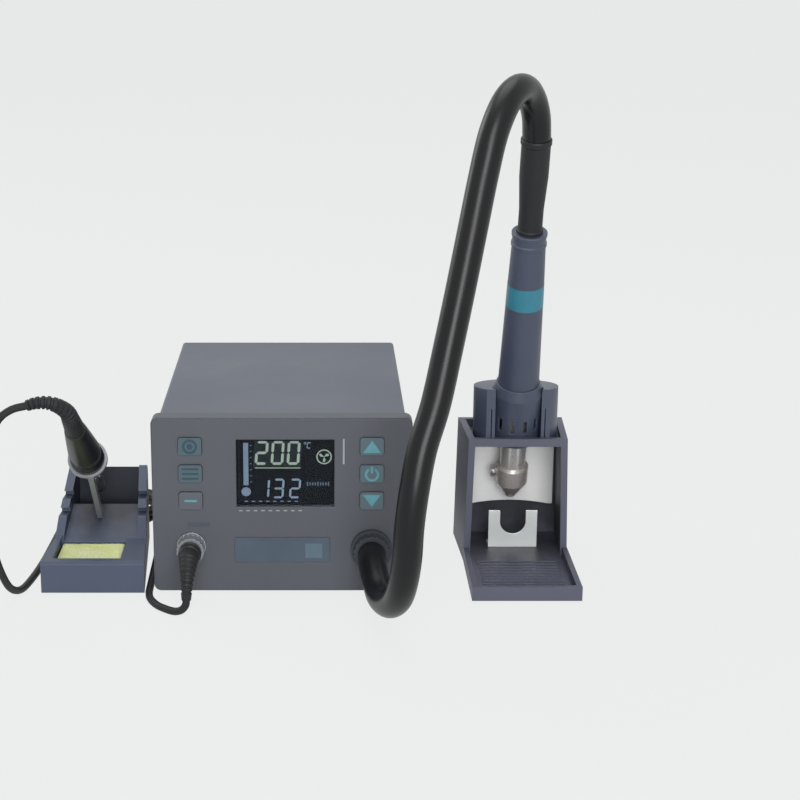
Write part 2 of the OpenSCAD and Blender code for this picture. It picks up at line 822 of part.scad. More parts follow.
module side_wall(side) {
  low = [[tray_w / 2, tower_y], [splay_low, tower_back],
    [splay_low - stand_wall, tower_back], [tray_w / 2 - stand_wall, tower_y]];
  high = [[top_half, tower_y], [splay_top, tower_back],
    [splay_top - stand_wall, tower_back], [top_half - stand_wall, tower_y]];
  mirror([side, 0, 0]) hull() {
    translate([0, 0, stand_z]) linear_extrude(1) polygon(low);
    translate([0, 0, tower_h - 1]) linear_extrude(1) polygon(high);
  }
}

module holder_base() {
  color("darkslategray") at_holder() difference() {
    union() {
      translate([0, 0, stand_z]) linear_extrude(tray_floor - stand_z) polygon([
        [-tray_w / 2, 0], [tray_w / 2, 0], [tray_w / 2, tower_y], [splay_low, tower_back],
        [-splay_low, tower_back], [-tray_w / 2, tower_y]
      ]);
      translate([-tray_w / 2, 0, stand_z]) cube([tray_w, 4, tray_h - stand_z]);
      for (side = [-1, 1]) translate([side * (tray_w / 2 - 2) - 2, 0, stand_z])
        cube([4, tower_y + 2, tray_h - stand_z]);
      for (side = [0, 1]) side_wall(side);
      // Rear wall, front bar and the deck that carries the cradle
      translate([-splay_top + 2, tower_back - stand_wall, stand_z])
        cube([2 * splay_top - 4, stand_wall, tower_h - stand_z]);
      translate([-top_half + 2, tower_y, bar_z]) cube([2 * top_half - 4, bar_t, bar_h]);
      translate([-top_half + 2, deck_y, deck_z]) difference() {
        cube([2 * top_half - 4, tower_back - 2 - deck_y, deck_t]);
        translate([top_half - 2 - slot_half - 2.5, -eps, -eps])
          cube([2 * slot_half + 5, seat_y - deck_y + shroud_r + 1, deck_t + 2 * eps]);
      }
      // Ridges of the tray floor
      for (y = [10:6:tower_y - 8]) translate([-tray_w / 2 + 10, y, tray_floor])
        cube([tray_w - 20, 2, 0.8]);
    }
    for (x = [-30, 30], y = [10, tower_back - 12]) translate([x, y, stand_z - eps])
      cylinder(h = 1 + eps, r = 6.2);
  }
}

module holder_feet() {
  color("black") at_holder() for (x = [-30, 30], y = [10, tower_back - 12])
    translate([x, y, 0]) cylinder(h = stand_z + 1, r = 6);
}

// Upright half-round cup with a leaning bore, open to the front
module cradle() {
  low = deck_z + deck_t;
  tall = 1.5 * ear_h;
  color("slategray") difference() {
    at_holder() difference() {
      translate([0, seat_y, low]) cylinder(h = tall, r = cradle_r);
      translate([-slot_half, 0, low - eps]) cube([2 * slot_half, seat_y, tall + 1]);
      translate([-cradle_r - 1, tower_y - 20, low - eps])
        cube([2 * cradle_r + 2, bar_t + 20 + gap, tall + 1]);
      // Flat back where it stands against the rear wall
      translate([-cradle_r - 1, tower_back - stand_wall - gap, low - eps])
        cube([2 * cradle_r + 2, 20, tower_h - low + gap + eps]);
      // Hollow of the moulding, open below
      translate([0, seat_y, low - eps]) difference() {
        cylinder(h = ear_h - 16, r = cradle_r - 2.5);
        translate([0, 0, -eps]) cylinder(h = ear_h, r = shroud_r + 6);
        translate([-slot_half - 2.5, -2 * cradle_r, -eps])
          cube([2 * slot_half + 5, 2 * cradle_r, ear_h]);
      }
      // Top, falling toward the back
      along_x(-2 * cradle_r, 2 * cradle_r) polygon([
        [tower_y - 5, low + ear_h], [tower_back + 5, low + ear_h - ear_fall],
        [tower_back + 5, low + 2 * tall], [tower_y - 5, low + 2 * tall]
      ]);
    }
    on_tool_axis() cylinder(h = 2 * tall, r = shroud_r + gap);
    // Way down for the nozzle and its clamp
    on_tool_axis() translate([0, 0, -tall]) cylinder(h = tall + 1, r = heater_r + lug_l + 0.7);
  }
}

module heat_shield() {
  color("silver") at_holder() difference() {
    translate([-shield_half, shield_y, 30]) cube([2 * shield_half, plate_t, deck_z - 30]);
    // Curved lower edge
    translate([0, shield_y - 1, -125]) rotate([-90, 0, 0]) cylinder(h = 4, r = 158, $fn = 96);
  }
  color("silver") at_holder() {
    translate([-shield_half, shield_y, deck_z - 10])
      cube([2 * shield_half, plate_t, 10 - 0.05]);
    for (side = [-1, 1]) translate([side * 20 - 4, shield_y + plate_t, deck_z - 12])
      cube([8, tower_back - stand_wall - shield_y - plate_t - 0.05, 6]);
  }
}

rest_plate_y = tower_y + 20;

module nozzle_rest() {
  color("silver") at_holder() difference() {
    union() {
      translate([-19, rest_plate_y, tray_floor]) cube([38, plate_t, 30]);
      translate([-19, rest_plate_y, tray_floor]) cube([38, 14, plate_t]);
    }
    translate([0, rest_plate_y - 1, 26]) rotate([-90, 0, 0]) cylinder(h = 4, r = 10);
    translate([-10, rest_plate_y - 1, 26]) cube([20, 4, 20]);
    for (x = [-11, 11]) translate([x, rest_plate_y + 8, tray_floor - eps])
      cylinder(h = plate_t + 2 * eps, r = 1.6);
  }
}

// Soldering iron, drawn along its own axis from the ring up to the user

nose_r = ring_bore - 0.4;
barrel_r = 5.5;
nut_low = -26;
barrel_low = -iron_reach + 20;

module iron_grip() {
  color([0.12, 0.12, 0.13]) on_iron_axis() rotate_extrude() polygon([
    [0, -12], [nose_r - 1, -12], [nose_r, -11], [nose_r, ring_t / 2 + snug],
    [iron_grip_r + 0.8, ring_t / 2 + snug], [iron_grip_r + 0.8, 6], [iron_grip_r - 1, 9],
    [iron_grip_r, 0.3 * iron_grip_l], [iron_grip_r - 2, 0.65 * iron_grip_l],
    [iron_grip_r - 4, iron_grip_l - 2], [iron_grip_r - 4.6, iron_grip_l], [0, iron_grip_l]
  ]);
}

module iron_collar() {
  color("silver") on_iron_axis() difference() {
    translate([0, 0, nut_low]) cylinder(h = -12 - snug - nut_low, r = 8.5);
    translate([0, 0, nut_low - eps]) cylinder(h = 10, r = barrel_r + 0.05);
    for (i = [0:15]) rotate(i * 22.5) translate([9, 0, nut_low + 2])
      cylinder(h = -16 - nut_low, r = 0.9);
  }
}

module iron_barrel() {
  color("silver") on_iron_axis() translate([0, 0, barrel_low])
    ring(nut_low + 8 - barrel_low, barrel_r, 3.3);
}

module iron_tip() {
  color("peru") on_iron_axis() {
    translate([0, 0, barrel_low]) cylinder(h = 20, r = 3.25);
    translate([0, 0, barrel_low - 10]) cylinder(h = 10, r = 3.25);
    translate([0, 0, -iron_reach]) cylinder(h = 10, r1 = 0.6, r2 = 3.25);
  }
}

// Point on the iron's axis, at a height above the ring
iron_up = [0, -cos(iron_rise), sin(iron_rise)];
function iron_point(h) = rest_at + [ring_x, ring_y, ring_z] + h * iron_up;

// Route of the boot, from the grip to the cord
boot_path = [for (h = [0, 8, 22, 34]) iron_point(iron_grip_l + h)];
// Direction of the cord where it enters the boot
boot_exit = unit([1, 0, 0.35]);
boot_bend = [[-168, -142, 154], [-172.5, -145.5, 158], [-179, -147, 160.3], [-186.5, -147, 160],
  [-193, -146.6, 158]];

module iron_boot() {
  color([0.1, 0.1, 0.1])
    tube_along(concat(boot_path, boot_bend), [7.1, 7, 6.4, 5.9, 5.6, 5.2, 4.8, 4.3, 3.8], 12,
      iron_up, -boot_exit);
}

// Iron stand

cheek = 6.5;
well_y = rest_d - 28;
deck_rise = 18;
well_back = rest_d - 5;
well_floor = 10;
rest_z = 1;
pad_z = 5;
sponge_y = 9;
sponge_x = -5;
deck_low_y = sponge_y + sponge_d + 3;

rest_feet = [for (side = [-1, 1], p = [[rest_w / 2 - 10, 10], [rest_back_w / 2 - 9, rest_d - 12]])
  [side * p[0], p[1]]];

// Plan of the stand, narrower at the back, drawn in by an inset
module rest_plan(inset) {
  low = rest_w / 2 - inset;
  high = rest_back_w / 2 - inset;
  linear_extrude(rest_back_h + 30)
    polygon([[-low, 0], [low, 0], [high, rest_d], [-high, rest_d]]);
}

module iron_stand() {
  color("darkslategray") at_rest_stand() difference() {
    intersection() {
      along_x(-rest_w / 2, rest_w / 2) polygon([
        [0, rest_z], [0, rest_front_h - 2], [2, rest_front_h], [deck_low_y - 4, rest_front_h],
        [deck_low_y + 10, rest_front_h + 12], [rest_d - 8, rest_back_h],
        [rest_d, rest_back_h - 6], [rest_d, rest_z]
      ]);
      rest_plan(0);
    }
    // Sponge well
    translate([sponge_x - sponge_w / 2 - 1, sponge_y - 1, pad_z])
      cube([sponge_w + 2, sponge_d + 2, 80]);
    // Sloping deck between the cheeks
    intersection() {
      along_x(-rest_w / 2, rest_w / 2) polygon([
        [deck_low_y - 2.5, rest_front_h - 4], [well_y, rest_front_h - 4 + deck_rise],
        [well_y, rest_back_h + 20], [deck_low_y - 2.5, rest_back_h + 20]
      ]);
      rest_plan(cheek);
    }
    // Well for the hot end
    intersection() {
      translate([-rest_w / 2, well_y - eps, well_floor])
        cube([rest_w, well_back - well_y + eps, 80]);
      rest_plan(cheek);
    }
    // Notches in the sloping edges of both cheeks
    for (t = [0.1, 0.42]) translate([-rest_w / 2 - eps,
        deck_low_y + 10 + t * (rest_d - 18 - deck_low_y) - 4,
        rest_front_h + 12 + t * (rest_back_h - rest_front_h - 12) - 2])
      cube([rest_w + 2 * eps, 12, 4]);
    for (p = rest_feet) translate([p[0], p[1], rest_z - eps]) cylinder(h = 1 + eps, r = 6.2);
  }
}

module iron_stand_feet() {
  color("black") at_rest_stand() for (p = rest_feet)
    translate([p[0], p[1], 0]) cylinder(h = rest_z + 1, r = 6);
}

// Hoop that holds the iron, on a strut from the deck
module iron_ring() {
  foot_y = well_y - 15;
  foot_z = rest_front_h - 4
    + deck_rise * (foot_y - deck_low_y + 2.5) / (well_y - deck_low_y + 2.5);
  lean = 90 - iron_rise;
  // Lowest point of the hoop, seen from the side
  tip_y = ring_y - cos(lean) * (ring_r - 1);
  tip_z = ring_z - sin(lean) * (ring_r - 1);
  color("gray") difference() {
    union() {
      on_iron_axis() translate([0, 0, -ring_t / 2]) cylinder(h = ring_t, r = ring_r);
      at_rest_stand() along_x(ring_x + 1, ring_x + 5) polygon([
        [foot_y, foot_z], [foot_y + 4, foot_z + 4 * deck_rise / (well_y - deck_low_y + 2.5)],
        [foot_y + 4, foot_z + 5],
        [tip_y + 2.5, tip_z + 1], [tip_y - 1, tip_z - 1.5]
      ]);
    }
    on_iron_axis() translate([0, 0, -20]) cylinder(h = 40, r = ring_bore);
  }
}

module sponge() {
  color("yellowgreen") at_rest_stand()
    translate([sponge_x - sponge_w / 2, sponge_y, pad_z + 0.05])
    cube([sponge_w, sponge_d, sponge_t]);
}

// Cords

sleeve_top = grip_end + sleeve_l;
// Point on the handpiece's axis, at a height above the lower rim of the shroud
function tool_point(h) =
  holder_at + [0, seat_y - h * sin(tool_lean), seat_z + h * cos(tool_lean)];

hose_path = [
  [45, -109, 36], [45, -125, 34], [47, -142, 29], [50, -160, 24], [55, -178, 26],
  [60, -194, 36], [63, -206, 52], [65, -213, 72], [66, -216, 95], [69, -215, 120],
  [74, -209, 146], [83, -200, 174], [91, -189, 208], [99, -177, 243], [107, -165, 280],
  [115, -153, 317], [121.5, -145, 343], [130, -133, 361], [139, -119, 369],
  [146.5, -105, 368], [152.5, -94, 360], [156.5, -86, 348], tool_point(sleeve_top + snug / 2)
];

plug_boot_path = [[-86, -120, 39], [-86, -127, 38.2], [-86, -133, 35.8], [-86.1, -138, 31.4],
  [-86.4, -141.2, 26], [-86.7, -142.7, 20.5], [-87, -143, 14.5]];
plug_path = [
  [-87, -143, 14.5], [-87.3, -142.8, 11.4], [-88.5, -142.1, 8.5], [-90.6, -140.7, 6],
  [-93.5, -138.9, 4.2], [-97.5, -136.2, 3.2], [-103, -131.6, 3], [-108.5, -126, 3],
  [-112.8, -119, 3], [-116, -111, 3], [-117.6, -101, 3], [-118, -87, 3], [-118.5, -47, 3],
  [-119, -7, 3], [-119, 33, 3], [-118, 63, 3], [-117.5, 85, 3]
];

iron_path = [
  [-198.5, 85, 3], [-200.5, 63, 3], [-202.5, 38, 3], [-203.5, 3, 3], [-205, -37, 3],
  [-208, -72, 3], [-212, -97, 4], [-216, -115, 12], [-219, -128, 27], [-222, -137, 47],
  [-223, -143, 70], [-223, -147, 95], [-221, -149, 118], [-218, -149, 137],
  [-212, -148, 149], [-203, -147, 155.5], [-193, -146.6, 158]
];

coil_at = [-158, 85, 0.25];

function unit(v) = v / norm(v);
function heading(p, i) = unit(p[min(i + 1, len(p) - 1)] - p[max(i - 1, 0)]);

// Tube of round section along a list of points, with a radius for each point
module tube_along(path, radii, sides, first, last) {
  n = len(path);
  dirs = [for (i = [0:n - 1]) i == 0 ? first : i == n - 1 ? last : heading(path, i)];
  // Carry one cross direction along the path without twist
  ups = [for (i = 0, u = unit(cross(dirs[0], [0.3, 0.2, 1] + [0, 1, 0] * abs(dirs[0][2])));
    i < n; i = i + 1, u = i < n ? unit(u - (u * dirs[i]) * dirs[i]) : u) u];
  points = [for (i = [0:n - 1], k = [0:sides - 1])
    let (a = 360 * k / sides, side = cross(dirs[i], ups[i]))
    path[i] + radii[i] * (cos(a) * ups[i] + sin(a) * side)];
  walls = [for (i = [0:n - 2], k = [0:sides - 1]) let (m = (k + 1) % sides)
    [i * sides + k, (i + 1) * sides + k, (i + 1) * sides + m, i * sides + m]];
  ends = [[for (k = [0:sides - 1]) k], [for (k = [sides - 1:-1:0]) (n - 1) * sides + k]];
  polyhedron(points, concat(walls, ends), convexity = 6);
}

tool_up = [0, -sin(tool_lean), cos(tool_lean)];

module air_hose() {
  color([0.08, 0.08, 0.08]) tube_along(hose_path, [for (p = hose_path) hose_r], 12,
    [0, -1, 0], -tool_up);
}

module cord_to_plug() {
  color("black") tube_along(plug_path, [for (p = plug_path) cord_r], 8, [0, 0, -1], [0, 1, 0]);
}

module cord_to_iron() {
  color("black") tube_along(iron_path, [for (p = iron_path) cord_r], 8, [0, -1, 0], boot_exit);
}

module cord_coil() {
  half = coil_columns * cord_r;
  color("black") translate(coil_at) rotate_extrude()
    translate([coil_r - half, 0]) square([2 * half, 4 * cord_r]);
}

module iron_plug() {
  color([0.1, 0.1, 0.1]) at_station() {
    rod_y(-left_x, socket_z, -20, 9.9, 7.1);
    rod_y(-left_x, socket_z, -25, -16 - snug, 8.2);
  }
  color([0.1, 0.1, 0.1])
    tube_along(plug_boot_path, [7, 6.8, 6.2, 5.4, 4.6, 4, 3.4], 16, [0, -1, 0], [0, 0, -1]);
}

module plug_ring() {
  color("silver") at_station() difference() {
    rod_y(-left_x, socket_z, -15, -4.2, socket_r - 0.5);
    rod_y(-left_x, socket_z, -16, -3, 7.15);
    for (i = [0:17]) translate([-left_x, -4, socket_z]) rotate([0, i * 20, 0])
      translate([socket_r - 0.1, 0, 0]) rotate([90, 0, 0]) cylinder(h = 12, r = 0.9);
  }
}

chassis();
top_cover();
rear_panel();
front_bezel();
display_window();
lcd_module();
display_board();
key_l1();
key_l2();
key_l3();
key_r1();
key_r2();
key_r3();
station_feet();
case_screws();
transformer_core();
transformer_winding();
control_board();
heatsink();
blower_housing();
blower_motor();
impeller();
air_duct();
hose_fitting();
iron_socket();
mains_inlet();
rocker_frame();
power_rocker();
fuse_holder();
earth_socket();
holder_base();
cradle();
heat_shield();
nozzle_rest();
holder_feet();
grip();
grip_band();
vent_shroud();
heater_tube();
heater_core();
nozzle();
nozzle_screw();
hose_sleeve();
iron_grip();
iron_collar();
iron_barrel();
iron_tip();
iron_boot();
iron_stand();
iron_ring();
sponge();
iron_stand_feet();
air_hose();
cord_to_plug();
cord_coil();
cord_to_iron();
iron_plug();
plug_ring();
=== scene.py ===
"""Looks of the two-in-one rework station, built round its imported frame.

The frame is the CAD model's: X to the right, Y to the back, Z up. Blender's lengths are in
metres. Places and sizes of small parts are written in millimetres and times MM.
"""
import math

import bmesh
import bpy
from mathutils import Matrix, Vector, noise


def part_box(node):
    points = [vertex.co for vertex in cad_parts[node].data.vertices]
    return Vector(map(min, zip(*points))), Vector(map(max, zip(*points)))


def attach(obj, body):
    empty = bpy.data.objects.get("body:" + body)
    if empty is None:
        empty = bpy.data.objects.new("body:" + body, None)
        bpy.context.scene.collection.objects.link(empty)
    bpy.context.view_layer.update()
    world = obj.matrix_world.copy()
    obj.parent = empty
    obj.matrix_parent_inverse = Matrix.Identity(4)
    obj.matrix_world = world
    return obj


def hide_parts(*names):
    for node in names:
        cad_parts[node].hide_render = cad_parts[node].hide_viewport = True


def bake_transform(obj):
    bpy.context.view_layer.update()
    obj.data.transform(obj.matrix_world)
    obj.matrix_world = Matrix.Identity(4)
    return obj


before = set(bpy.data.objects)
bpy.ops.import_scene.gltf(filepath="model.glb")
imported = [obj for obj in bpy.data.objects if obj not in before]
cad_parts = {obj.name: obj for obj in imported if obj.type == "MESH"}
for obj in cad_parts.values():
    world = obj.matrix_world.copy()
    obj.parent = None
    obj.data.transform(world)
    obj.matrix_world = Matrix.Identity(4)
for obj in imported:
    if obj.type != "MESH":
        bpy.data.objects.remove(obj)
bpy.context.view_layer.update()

MM = 0.001
# Place of the station on the desk, in millimetres: the middle of its front, at the floor
STATION = Vector((-20, -97, 0))
# The plane of the bezel's face, in metres
FRONT_Y = STATION.y * MM


def turn(degrees, axis):
    """A rotation about a main axis."""
    return Matrix.Rotation(math.radians(degrees), 4, axis)


def shift(millimetres):
    """A move given in millimetres."""
    return Matrix.Translation(Vector(millimetres) * MM)


# Where the handpiece and the iron lie: local +Z runs up along the tool
TOOL_AXIS = Matrix.Translation((0.158, -0.0032, 0.094)) @ turn(18, "X")
IRON_AXIS = Matrix.Translation((-0.166, -0.052, 0.090)) @ turn(55, "X")


def link(thing):
    """Put an object into the scene."""
    bpy.context.scene.collection.objects.link(thing)


# Camera

def make_camera():
    """The photograph's view: 15 degrees down, with the lens moved to its framing."""
    data = bpy.data.cameras.new("camera")
    data.sensor_width = 36
    data.lens = 76.5
    data.shift_x = 0.0975
    data.shift_y = -0.01625
    data.clip_end = 100
    camera = bpy.data.objects.new("camera", data)
    camera.location = (0.009, -1.265, 0.471)
    camera.rotation_euler = (math.radians(75), 0, 0)
    link(camera)
    bpy.context.scene.camera = camera


# Materials

def rgb(r, g, b):
    """A screen colour from 0 to 255 as a linear one."""
    return tuple(((c / 255 + 0.055) / 1.055) ** 2.4 if c > 10 else c / 255 / 12.92
                 for c in (r, g, b)) + (1.0,)


# Background of the photograph: the floor and the world
PALE = rgb(237, 239, 238)
# Painted shade on the insides of the stands: its colour, and the most of it that shows
PAINTED_SHADE, PAINTED_SHADE_MOST = rgb(20, 21, 24), 0.8
# Radius over which edges are found, in metres, where none is rounded
EDGE_REACH = 0.0009


def scaled(colour, factor):
    """A linear colour made darker or lighter."""
    return tuple(min(1.0, c * factor) for c in colour[:3]) + (1.0,)


class Nodes:
    """A material's nodes, made and joined with few words."""

    def __init__(self, name):
        self.material = bpy.data.materials.new(name)
        self.material.use_nodes = True
        self.tree = self.material.node_tree
        self.shader = self.tree.nodes["Principled BSDF"]
        self.out = self.tree.nodes["Material Output"]

    def add(self, kind, inputs=None, **settings):
        node = self.tree.nodes.new("ShaderNode" + kind)
        for key, value in settings.items():
            setattr(node, key, value)
        for key, value in (inputs or {}).items():
            if isinstance(value, bpy.types.NodeSocket):
                self.tree.links.new(value, node.inputs[key])
            else:
                node.inputs[key].default_value = value
        return node

    def join(self, source, target):
        """Lead one socket to another."""
        self.tree.links.new(source, target)

    def place(self, stretch=(1, 1, 1)):
        """Object coordinates, which go with a moving body."""
        spot = self.add("TexCoord").outputs["Object"]
        return self.add("Mapping", {"Vector": spot, "Scale": stretch}).outputs[0]

    def noise(self, scale, spot, detail=3.0, rough=0.5):
        return self.add("TexNoise", {"Vector": spot, "Scale": scale, "Detail": detail,
                                     "Roughness": rough}).outputs["Fac"]

    def math(self, operation, a, b):
        """Two numbers joined by a named operation."""
        return self.add("Math", {0: a, 1: b}, operation=operation).outputs[0]

    def span(self, value, low, high, to_low=0.0, to_high=1.0):
        """A value from low to high carried over to another range."""
        return self.add("MapRange", {"Value": value, "From Min": low, "From Max": high,
                                     "To Min": to_low, "To Max": to_high}).outputs["Result"]

    def vary(self, noise, low=0.0, high=1.0):
        """The usual range of a noise, 0.3 to 0.7, carried over to another range."""
        return self.span(noise, 0.3, 0.7, low, high)

    def blend(self, factor, a, b):
        """Colour a at factor 0, b at factor 1."""
        node = self.add("Mix", data_type="RGBA")
        for socket, value in ((node.inputs[0], factor), (node.inputs[6], a), (node.inputs[7], b)):
            if isinstance(value, bpy.types.NodeSocket):
                self.join(value, socket)
            else:
                socket.default_value = value
        return node.outputs[2]

    def edges(self, radius):
        """How near a sharp edge is, 0 to 1, and the normal rounded over it."""
        rounded = self.add("Bevel", {"Radius": radius}, samples=4).outputs[0]
        plain = self.add("NewGeometry").outputs["Normal"]
        dot = self.add("VectorMath", {0: rounded, 1: plain}, operation="DOT_PRODUCT")
        return self.span(dot.outputs["Value"], 0.995, 0.86), rounded


def finish(name, colour, rough, metal=0.0, mottle=(18, 0.05), grain=(2200, 0.12), wear_and_highlight=0.0,
           wear_and_highlight_colour=None, brushed=None, coat=0.0, spec=0.5, smudge=0.06, round_off=0.0,
           painted_shade=None):
    """A moulded, painted or metal surface.

    mottle and grain are (scale, strength) of the slow colour change and of the fine bump.
    The edge lightening and its colour show on edges, which round_off rounds in metres: partly
    rubbed edges, partly a painted highlight on them. brushed stretches the grain.
    smudge is how far the roughness strays either way. The last argument, a (centre, clear)
    pair, is painted shade: the faces that look at the centre darken up to that far from it.
    """
    n = Nodes(name)
    spot = n.place(brushed or (1, 1, 1))
    slow = n.noise(mottle[0], n.place() if brushed else spot, 4.0)
    base = n.blend(n.vary(slow), scaled(colour, 1 - mottle[1]),
                   scaled(colour, 1 + mottle[1]))
    fine = n.noise(grain[0], spot, 2.0)
    base = n.blend(n.vary(fine, 0.0, 0.35), base, scaled(colour, 0.86))
    normal = None
    if wear_and_highlight or round_off:
        near, normal = n.edges(round_off or EDGE_REACH)
    # Lighter edges: partly rubbed plastic, partly a painted highlight along the edges
    if wear_and_highlight:
        patchy = n.span(n.noise(140, spot, 3.0), 0.3, 0.6, 0.35, 1.0)
        worn_and_lit = n.math("MULTIPLY", n.math("MULTIPLY", near, patchy), wear_and_highlight)
        base = n.blend(worn_and_lit, base, wear_and_highlight_colour or scaled(colour, 1.9))
    # Painted shade: faces that look inward toward a centre darken near it
    if painted_shade:
        centre, clear = painted_shade
        offset = n.add("VectorMath", {0: n.place(), 1: centre}, operation="SUBTRACT").outputs[0]
        away = n.add("VectorMath", {0: offset}, operation="LENGTH").outputs["Value"]
        normal_way = n.add("TexCoord").outputs["Normal"]
        facing = n.add("VectorMath", {0: offset, 1: normal_way},
                       operation="DOT_PRODUCT").outputs["Value"]
        blotch = n.span(n.noise(55, spot, 4.0), 0.25, 0.75, -0.012, 0.012)
        away = n.math("ADD", away, blotch)
        inside = n.span(facing, -0.004, -0.001, 1.0, 0.0)
        share = n.math("MULTIPLY", n.span(away, clear * 0.45, clear, PAINTED_SHADE_MOST, 0.0), inside)
        base = n.blend(share, base, PAINTED_SHADE)
    n.join(base, n.shader.inputs["Base Color"])
    smudges = n.vary(n.noise(9, spot, 5.0, 0.6), rough - smudge, rough + smudge)
    n.join(smudges, n.shader.inputs["Roughness"])
    bump = n.add("Bump", {"Height": fine, "Strength": grain[1], "Distance": 0.0002})
    if normal is not None:
        n.join(normal, bump.inputs["Normal"])
    n.join(bump.outputs[0], n.shader.inputs["Normal"])
    n.shader.inputs["Metallic"].default_value = metal
    n.shader.inputs["Specular IOR Level"].default_value = spec
    n.shader.inputs["Coat Weight"].default_value = coat
    n.shader.inputs["Coat Roughness"].default_value = 0.25
    return n.material


def glow(name, colour, strength):
    """Lit marks on the display."""
    n = Nodes(name)
    spot = n.place()
    uneven = n.vary(n.noise(220, spot), 0.86, 1.0)
    shade = n.blend(uneven, (0, 0, 0, 1), colour)
    n.join(shade, n.shader.inputs["Emission Color"])
    n.shader.inputs["Emission Strength"].default_value = strength
    n.shader.inputs["Base Color"].default_value = scaled(colour, 0.3)
    n.shader.inputs["Roughness"].default_value = 0.5
    return n.material


def tinted_glass():
    """The window over the display."""
    n = Nodes("tinted_glass")
    n.shader.inputs["Base Color"].default_value = rgb(196, 206, 222)
    n.shader.inputs["Transmission Weight"].default_value = 1.0
    n.shader.inputs["IOR"].default_value = 1.2
    haze = n.vary(n.noise(60, n.place(), 1.0), 0.02, 0.05)
    n.join(haze, n.shader.inputs["Roughness"])
    return n.material


def sponge_finish():
    """Open cells of two sizes in pale green cellulose."""
    n = Nodes("sponge_cells")
    spot = n.place()
    cells = n.add("TexVoronoi", {"Vector": spot, "Scale": 620}).outputs["Distance"]
    big = n.add("TexVoronoi", {"Vector": spot, "Scale": 190}).outputs["Distance"]
    slow = n.noise(45, spot, 4.0)
    base = n.blend(n.vary(slow), rgb(232, 243, 150), rgb(246, 250, 196))
    # Darker in the pits of the cells: painted shade in the pores
    base = n.blend(n.span(cells, 0.0, 0.35, 0.55, 0.0), base, rgb(160, 172, 72))
    base = n.blend(n.span(big, 0.0, 0.16, 0.7, 0.0), base, rgb(130, 142, 54))
    n.join(base, n.shader.inputs["Base Color"])
    n.shader.inputs["Roughness"].default_value = 0.92
    height = n.math("ADD", cells, big)
    bump = n.add("Bump", {"Height": height, "Strength": 0.7, "Distance": 0.0008})
    n.join(bump.outputs[0], n.shader.inputs["Normal"])
    n.shader.inputs["Sheen Weight"].default_value = 0.2
    return n.material


def heated_steel():
    """Bright steel with straw and blue tints toward the hot end, along the tool's axis."""
    n = Nodes("heated_steel")
    spot = n.place()
    back = TOOL_AXIS.inverted()
    along = n.add("VectorMath", {0: spot, 1: tuple(back[2][:3])}, operation="DOT_PRODUCT")
    height = n.math("ADD", along.outputs["Value"], back[2][3])
    ramp = n.add("ValToRGB", {"Fac": n.span(height, -0.06, 0.01)})
    stops = ramp.color_ramp.elements
    stops[0].color, stops[1].color = rgb(196, 188, 190), rgb(226, 224, 223)
    for at, colour in ((0.2, rgb(212, 202, 198)), (0.4, rgb(222, 216, 211)),
                       (0.6, rgb(226, 223, 221))):
        stops.new(at).color = colour
    slow = n.vary(n.noise(60, spot, 1.0), 0.95, 1.0)
    n.join(n.blend(slow, (0.2, 0.19, 0.18, 1), ramp.outputs[0]), n.shader.inputs["Base Color"])
    n.shader.inputs["Metallic"].default_value = 0.6
    fine = n.noise(1800, n.place((1, 1, 0.08)), 2.0)
    n.join(n.vary(fine, 0.27, 0.3), n.shader.inputs["Roughness"])
    bump = n.add("Bump", {"Height": fine, "Strength": 0.05, "Distance": 0.00003})
    n.join(bump.outputs[0], n.shader.inputs["Normal"])
    return n.material


